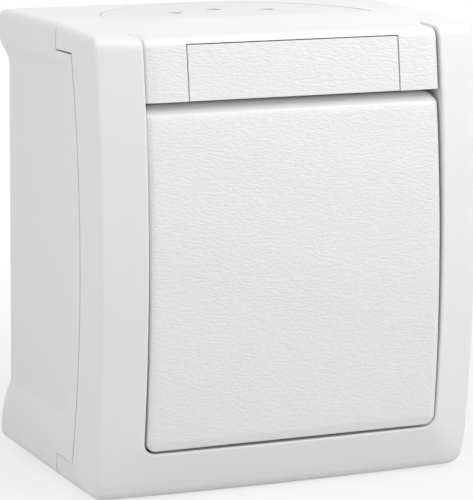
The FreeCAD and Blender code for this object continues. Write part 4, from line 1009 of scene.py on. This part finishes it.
def outline_distance(x, z, half_width, reach, corner):
    """Distance inwards from the outline of a rounded rectangle about the origin."""
    out_x = abs(x) - half_width + corner
    out_z = abs(z) - reach + corner
    if out_x > 0.0 and out_z > 0.0:
        return corner - math.hypot(out_x, out_z)
    return corner - max(out_x, out_z)


def hollow_out(bm, face, wall, travel):
    """Sinks a face inside a rim."""
    bmesh.ops.inset_region(bm, faces=[face], thickness=wall, use_even_offset=True)
    grow(bm, [face], travel)
    bmesh.ops.delete(bm, geom=[face], context="FACES_ONLY")


def rocker_fall(rocker, x, z):
    """How far the rocker's front lies behind its crest at a place measured from the pivot."""
    bowed = rocker.crest - bow_depth(rocker.bow, rocker.crest, z)
    sides = soft_positive(abs(x) - rocker.half_width + rocker.bevel, rocker.crease) / rocker.bevel
    foot = soft_positive(rocker.foot - rocker.reach - z, rocker.crease) / rocker.foot
    brow = soft_positive(z - rocker.reach - rocker.crown + rocker.brow, rocker.brow_crease) / rocker.brow
    slopes = sides * rocker.bevel_drop + foot * rocker.foot_drop + brow * rocker.brow_drop
    rim = max(rocker.edge_round - rocker_inside(rocker, x, z), 0.0) / rocker.edge_round
    return bowed + slopes + quarter_drop(rocker.edge_round, rim)


def rocker_inside(rocker, x, z):
    """Distance inwards from the rocker's outline."""
    half_crown = rocker.crown / 2
    return outline_distance(x, z - half_crown, rocker.half_width, rocker.reach + half_crown, rocker.corner)


def rocker_shape(rocker, tilt):
    """The rocker plate: bowed and grained, with smooth edges and a brow that leads under the strip."""
    top = rocker.reach + rocker.crown
    bm = prism(rocker.half_width, -rocker.reach, top, rocker.corner, rocker.rear, rocker.crest, segments=12)
    front = next(face for face in bm.faces if face.normal.y < -FACING)
    rear = next(face for face in bm.faces if face.normal.y > FACING)
    hollow_out(bm, rear, rocker.wall, (0.0, rocker.rear - rocker.inside, 0.0))
    inset = 0.0
    for share in ROUND_STEPS:
        bmesh.ops.inset_region(bm, faces=[front], thickness=rocker.edge_round * share - inset,
                               use_even_offset=True)
        inset = rocker.edge_round * share
    crease = rocker.half_width - rocker.bevel
    slice_across(bm, 0, [side * (crease + bend) for bend in BENDS for side in (-1.0, 1.0)])
    heights = spread(rocker.edge_round - rocker.reach, top - rocker.edge_round, ROCKER_STEPS)
    heights += [rocker.foot - rocker.reach + bend for bend in BENDS]
    heights += [top - rocker.brow + bend * BROW_BENDS for bend in BENDS]
    slice_across(bm, 2, heights)
    for vert in bm.verts:
        if vert.co.y < MERGE - rocker.crest:
            vert.co.y += rocker_fall(rocker, vert.co.x, vert.co.z)
    for face in bm.faces:
        middle = face.calc_center_median()
        grained = (face.normal.y < -FACING and rocker_inside(rocker, middle.x, middle.z) > rocker.edge_round
                   and rocker.foot - rocker.reach < middle.z < top - rocker.brow - rocker.brow_crease)
        face.material_index = 0 if grained else 1
    tidy(bm)
    bmesh.ops.translate(bm, vec=(0.0, 0.0, rocker.pivot_height), verts=bm.verts[:])
    pivot = at(0.0, rocker.pivot_depth, rocker.pivot_height)
    bmesh.ops.rotate(bm, cent=pivot, matrix=Matrix.Rotation(-tilt, 3, "X"), verts=bm.verts[:])
    return bm


class SWITCH_OT_rocker(bpy.types.Operator):
    """Builds the grained rocker plate"""

    bl_idname = "switch.rocker"
    bl_label = "Rocker"

    def execute(self, context):
        settings = context.scene.switch
        bm = rocker_shape(mm(settings.rocker), settings.rest_tilt)
        add_piece("rocker_plate", bm, "rocker", ["rocker"],
                  [finish("leather_grain"), finish("smooth_slopes")], sharp=40.0)
        return {"FINISHED"}


def strip_places(case, strip):
    """Side view of the strip, from the top down to its lower edge: depth, height, inward direction."""
    profile = TopProfile(case, case.bow - strip.step, strip.top_round)
    rear = profile.front_corner - case.strip_return + strip.rear_gap
    places = [(depth, profile.top(depth), DOWN) for depth in spread(rear, profile.top_end(), LIP_STEPS)]
    places += [(*profile.on_arc(share), DOWN.slerp(BACK, share))
               for share in spread(0.0, 1.0, TOP_EDGE_STEPS)[1:]]
    bottom = case.half_height - case.strip_edge
    places += [(profile.front(height), height, BACK)
               for height in spread(profile.on_arc(1.0)[1], bottom, STRIP_STEPS)[1:]]
    return places


def strip_shape(case, strip):
    """The label strip, which wraps from the front over the top edge, with a recess for the label."""
    crease = strip.half_width - strip.bevel
    rows = []
    for depth, height, inward in strip_places(case, strip):
        row = []
        for x in spread(0.0, crease + BENDS[0], SPAN_STEPS)[:-1] + [crease + bend for bend in BENDS]:
            fall = strip.bevel_drop * soft_positive(x - crease, strip.crease) / strip.bevel
            row.append(at(-x, depth, height) + inward * fall)
        end = at(-strip.half_width, depth, height)
        corner = end + inward * strip.bevel_drop
        row += fillet(corner, row[-1] - corner, inward, strip.edge_round, CORNER_STEPS)
        row += [end + inward * strip.thickness, at(0.0, depth, height) + inward * strip.thickness]
        rows.append(row)
    bm = bmesh.new()
    loft(bm, rows)
    add_right_half(bm)
    close_ends(bm)
    bottom = case.half_height - case.strip_edge
    label_top = bottom + strip.label_height + strip.label_gap
    recess = prism(strip.label_half + strip.label_gap, bottom - case.roof, label_top, 0.0, strip.label_seat,
                   case.crest + case.roof)
    bm = carved(bm, [recess])
    for face in bm.faces:
        middle = face.calc_center_median()
        grained = face.normal.y < -FACING and abs(middle.x) < strip.half_width - strip.edge_round
        face.material_index = 0 if grained and middle.z < label_top else 1
    return bm


def label_shape(case, strip):
    """The label, flush in its recess and bowed with the strip."""
    bottom = case.half_height - case.strip_edge
    front = case.crest - strip.step
    bm = prism(strip.label_half, bottom, bottom + strip.label_height, strip.label_round, strip.label_seat,
               front, segments=LIP_STEPS)
    face = next(item for item in bm.faces if item.normal.y < -FACING)
    bmesh.ops.bevel(bm, geom=list(face.edges), offset=strip.label_round, offset_type="OFFSET", affect="EDGES",
                    segments=LIP_STEPS, profile=0.5, material=-1)
    slice_across(bm, 2, spread(bottom, bottom + strip.label_height, STRIP_STEPS)[1:-1])
    for vert in bm.verts:
        if vert.co.y < -strip.label_seat - MERGE:
            vert.co.y += front - bow_depth(case.bow - strip.step, front, vert.co.z)
    for item in bm.faces:
        item.material_index = 0 if item.normal.y < -FACING else 1
    tidy(bm)
    return bm


class SWITCH_OT_label_strip(bpy.types.Operator):
    """Builds the label strip and the label in it"""

    bl_idname = "switch.label_strip"
    bl_label = "Label strip"

    def execute(self, context):
        settings = context.scene.switch
        case, strip = mm(settings.case), mm(settings.strip)
        finishes = [finish("leather_grain"), finish("smooth_slopes")]
        for name, node, shape in (("label_strip", "label_carrier", strip_shape),
                                  ("label_window", "label_plate", label_shape)):
            add_piece(name, shape(case, strip), "case", [node], finishes)
        return {"FINISHED"}


# Finishes of the solids: the inner ones show, and the outer ones stand behind the dressed pieces
SOLID_FINISHES = {
    "seal_rubber": ("frame_gasket", "rocker_seal"),
    "housing": ("mechanism_body", "mechanism_cover"),
    "toggle": ("cradle", "plunger"),
    "steel": ("plunger_spring", "terminal_clamps", "terminal_screws", "mechanism_screws", "frame_screws"),
    "brass": ("contact_lever", "common_terminal", "output_terminal"),
    "silver": ("moving_contact_tip", "fixed_contact_tip"),
    "satin_case": ("base_box", "front_frame"),
    "leather_grain": ("rocker", "label_carrier", "label_plate"),
    "membrane": ("cable_entry_top", "cable_entry_bottom"),
}


class SWITCH_OT_inner_parts(bpy.types.Operator):
    """Gives the mechanism, the seals, the screws and the hidden solids their finishes"""

    bl_idname = "switch.inner_parts"
    bl_label = "Inner parts"

    def execute(self, context):
        for key, nodes in SOLID_FINISHES.items():
            for node in nodes:
                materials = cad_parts[node].data.materials
                materials.clear()
                materials.append(finish(key))
        return {"FINISHED"}


# The point that the softboxes face, in metres
LIT_POINT = (0.0, -0.03, 0.0)
# Softboxes: the setting that holds the power, the place and the size, in metres
SOFTBOXES = (
    ("overhead", (0.05, -0.12, 0.2), (0.2, 0.2)),
    ("right", (0.28, -0.36, 0.26), (0.25, 0.25)),
    ("left", (-0.22, -0.06, 0.07), (0.2, 0.2)),
)
# Half the width of the floor, in metres
FLOOR_REACH = 6.0
FLOOR_ROUGHNESS = 0.9
# Distances from the middle, in millimetres, between which the floor fades to white
FADE_RANGE = (40.0, 160.0)
# Width of the camera's sensor in millimetres
SENSOR_WIDTH = 36.0


def camera_axes(stage):
    """Right, up and back directions of the camera."""
    back = Vector((math.sin(stage.azimuth) * math.cos(stage.elevation),
                   -math.cos(stage.azimuth) * math.cos(stage.elevation), math.sin(stage.elevation)))
    right = Vector((math.cos(stage.azimuth), math.sin(stage.azimuth), 0.0))
    up = back.cross(right)
    turned = right * math.cos(stage.roll) + up * math.sin(stage.roll)
    return turned, back.cross(turned), back


def add_camera(stage):
    right, up, back = camera_axes(stage)
    target = Vector((0.0, -stage.target_depth, stage.target_height))
    target += right * stage.target_right + up * stage.target_up
    data = bpy.data.cameras.new("studio_camera")
    data.sensor_width = SENSOR_WIDTH
    data.lens = stage.lens
    camera = bpy.data.objects.new("studio_camera", data)
    turn = Matrix((right, up, back)).transposed().to_4x4()
    camera.matrix_world = Matrix.Translation(target + back * stage.distance) @ turn
    bpy.context.scene.collection.objects.link(camera)
    bpy.context.scene.camera = camera


def add_softbox(name, place, target, size, watts):
    data = bpy.data.lights.new(name, "AREA")
    data.shape = "RECTANGLE"
    data.size, data.size_y = size
    data.energy = watts
    lamp = bpy.data.objects.new(name, data)
    lamp.location = place
    lamp.rotation_euler = (Vector(target) - Vector(place)).to_track_quat("-Z", "Y").to_euler()
    bpy.context.scene.collection.objects.link(lamp)


def background_share(tree):
    """One for rays that should see the plain background: from the camera, from gloss and through glass."""
    path = tree.nodes.new("ShaderNodeLightPath")
    share = path.outputs["Is Camera Ray"]
    for name in ("Is Glossy Ray", "Is Transmission Ray"):
        larger = tree.nodes.new("ShaderNodeMath")
        larger.operation = "MAXIMUM"
        tree.links.new(share, larger.inputs[0])
        tree.links.new(path.outputs[name], larger.inputs[1])
        share = larger.outputs["Value"]
    return share


def mix_shaders(tree, share, first, second, output):
    """Shows the first shader where the share is zero, and the second where it is one."""
    mix = tree.nodes.new("ShaderNodeMixShader")
    tree.links.new(share, mix.inputs["Fac"])
    tree.links.new(first, mix.inputs[1])
    tree.links.new(second, mix.inputs[2])
    tree.links.new(mix.outputs["Shader"], output.inputs["Surface"])


def add_world(strength):
    world = bpy.data.worlds.new("studio_surround")
    world.use_nodes = True
    tree = world.node_tree
    light = node_of(tree, "BACKGROUND")
    light.inputs["Color"].default_value = WHITE
    light.inputs["Strength"].default_value = strength
    plain = tree.nodes.new("ShaderNodeBackground")
    plain.inputs["Color"].default_value = WHITE
    plain.inputs["Strength"].default_value = 1.0
    mix_shaders(tree, background_share(tree), light.outputs["Background"], plain.outputs["Background"],
                node_of(tree, "OUTPUT_WORLD"))
    bpy.context.scene.world = world


def add_floor(tone, height, veil):
    """A pale floor that fades to plain white away from the switch and keeps the shadow beside it."""
    bm = bmesh.new()
    bmesh.ops.create_grid(bm, x_segments=1, y_segments=1, size=FLOOR_REACH)
    bmesh.ops.translate(bm, vec=(0.0, 0.0, height), verts=bm.verts[:])
    floor = add_mesh("studio_floor", bm)
    material, tree, shader, vector = new_material("pale_floor")
    shader.inputs["Base Color"].default_value = (*tone, 1.0)
    shader.inputs["Roughness"].default_value = FLOOR_ROUGHNESS
    shader.inputs["Specular IOR Level"].default_value = 0.0
    away = tree.nodes.new("ShaderNodeVectorMath")
    away.operation = "LENGTH"
    tree.links.new(vector, away.inputs[0])
    fade = tree.nodes.new("ShaderNodeMapRange")
    for name, value in zip(("From Min", "From Max", "To Min", "To Max"), (*FADE_RANGE, veil, 1.0)):
        fade.inputs[name].default_value = value
    tree.links.new(away.outputs["Value"], fade.inputs["Value"])
    share = tree.nodes.new("ShaderNodeMath")
    share.operation = "MULTIPLY"
    tree.links.new(fade.outputs["Result"], share.inputs[0])
    tree.links.new(background_share(tree), share.inputs[1])
    white = tree.nodes.new("ShaderNodeEmission")
    white.inputs["Color"].default_value = WHITE
    white.inputs["Strength"].default_value = 1.0
    mix_shaders(tree, share.outputs["Value"], shader.outputs["BSDF"], white.outputs["Emission"],
                node_of(tree, "OUTPUT_MATERIAL"))
    floor.data.materials.append(material)


class SWITCH_OT_stage(bpy.types.Operator):
    """Sets the floor, the soft lights and the camera"""

    bl_idname = "switch.stage"
    bl_label = "Stage"

    def execute(self, context):
        stage = context.scene.switch.stage
        context.scene.view_settings.view_transform = "Standard"
        add_camera(stage)
        add_world(stage.ambient)
        add_floor(context.scene.switch.finishes.floor, CAD_BOX[0].z, stage.floor_veil)
        for name, place, size in SOFTBOXES:
            add_softbox(f"{name}_softbox", place, LIT_POINT, size, getattr(stage, name))
        return {"FINISHED"}


STEPS = (SWITCH_OT_frame, SWITCH_OT_box, SWITCH_OT_entries, SWITCH_OT_rocker, SWITCH_OT_label_strip,
         SWITCH_OT_inner_parts, SWITCH_OT_stage)


class SWITCH_PT_panel(bpy.types.Panel):
    """Lists the steps of the switch in the sidebar"""

    bl_label = "Weatherproof Switch"
    bl_idname = "SWITCH_PT_panel"
    bl_space_type = "VIEW_3D"
    bl_region_type = "UI"
    bl_category = "Switch"

    def draw(self, context):
        for step in STEPS:
            self.layout.operator(step.bl_idname)


CLASSES = (SwitchCaseSizes, SwitchEntrySizes, SwitchRockerSizes, SwitchStripSizes, SwitchFinishes,
           SwitchStageSettings, SwitchSettings, *STEPS, SWITCH_PT_panel)


def register():
    for item in CLASSES:
        bpy.utils.register_class(item)
    bpy.types.Scene.switch = bpy.props.PointerProperty(type=SwitchSettings)


def unregister():
    del bpy.types.Scene.switch
    for item in reversed(CLASSES):
        bpy.utils.unregister_class(item)


def main():
    register()
    bpy.ops.switch.frame()
    bpy.ops.switch.box()
    bpy.ops.switch.entries()
    bpy.ops.switch.rocker()
    bpy.ops.switch.label_strip()
    bpy.ops.switch.inner_parts()
    bpy.ops.switch.stage()


if __name__ == "__main__":
    main()
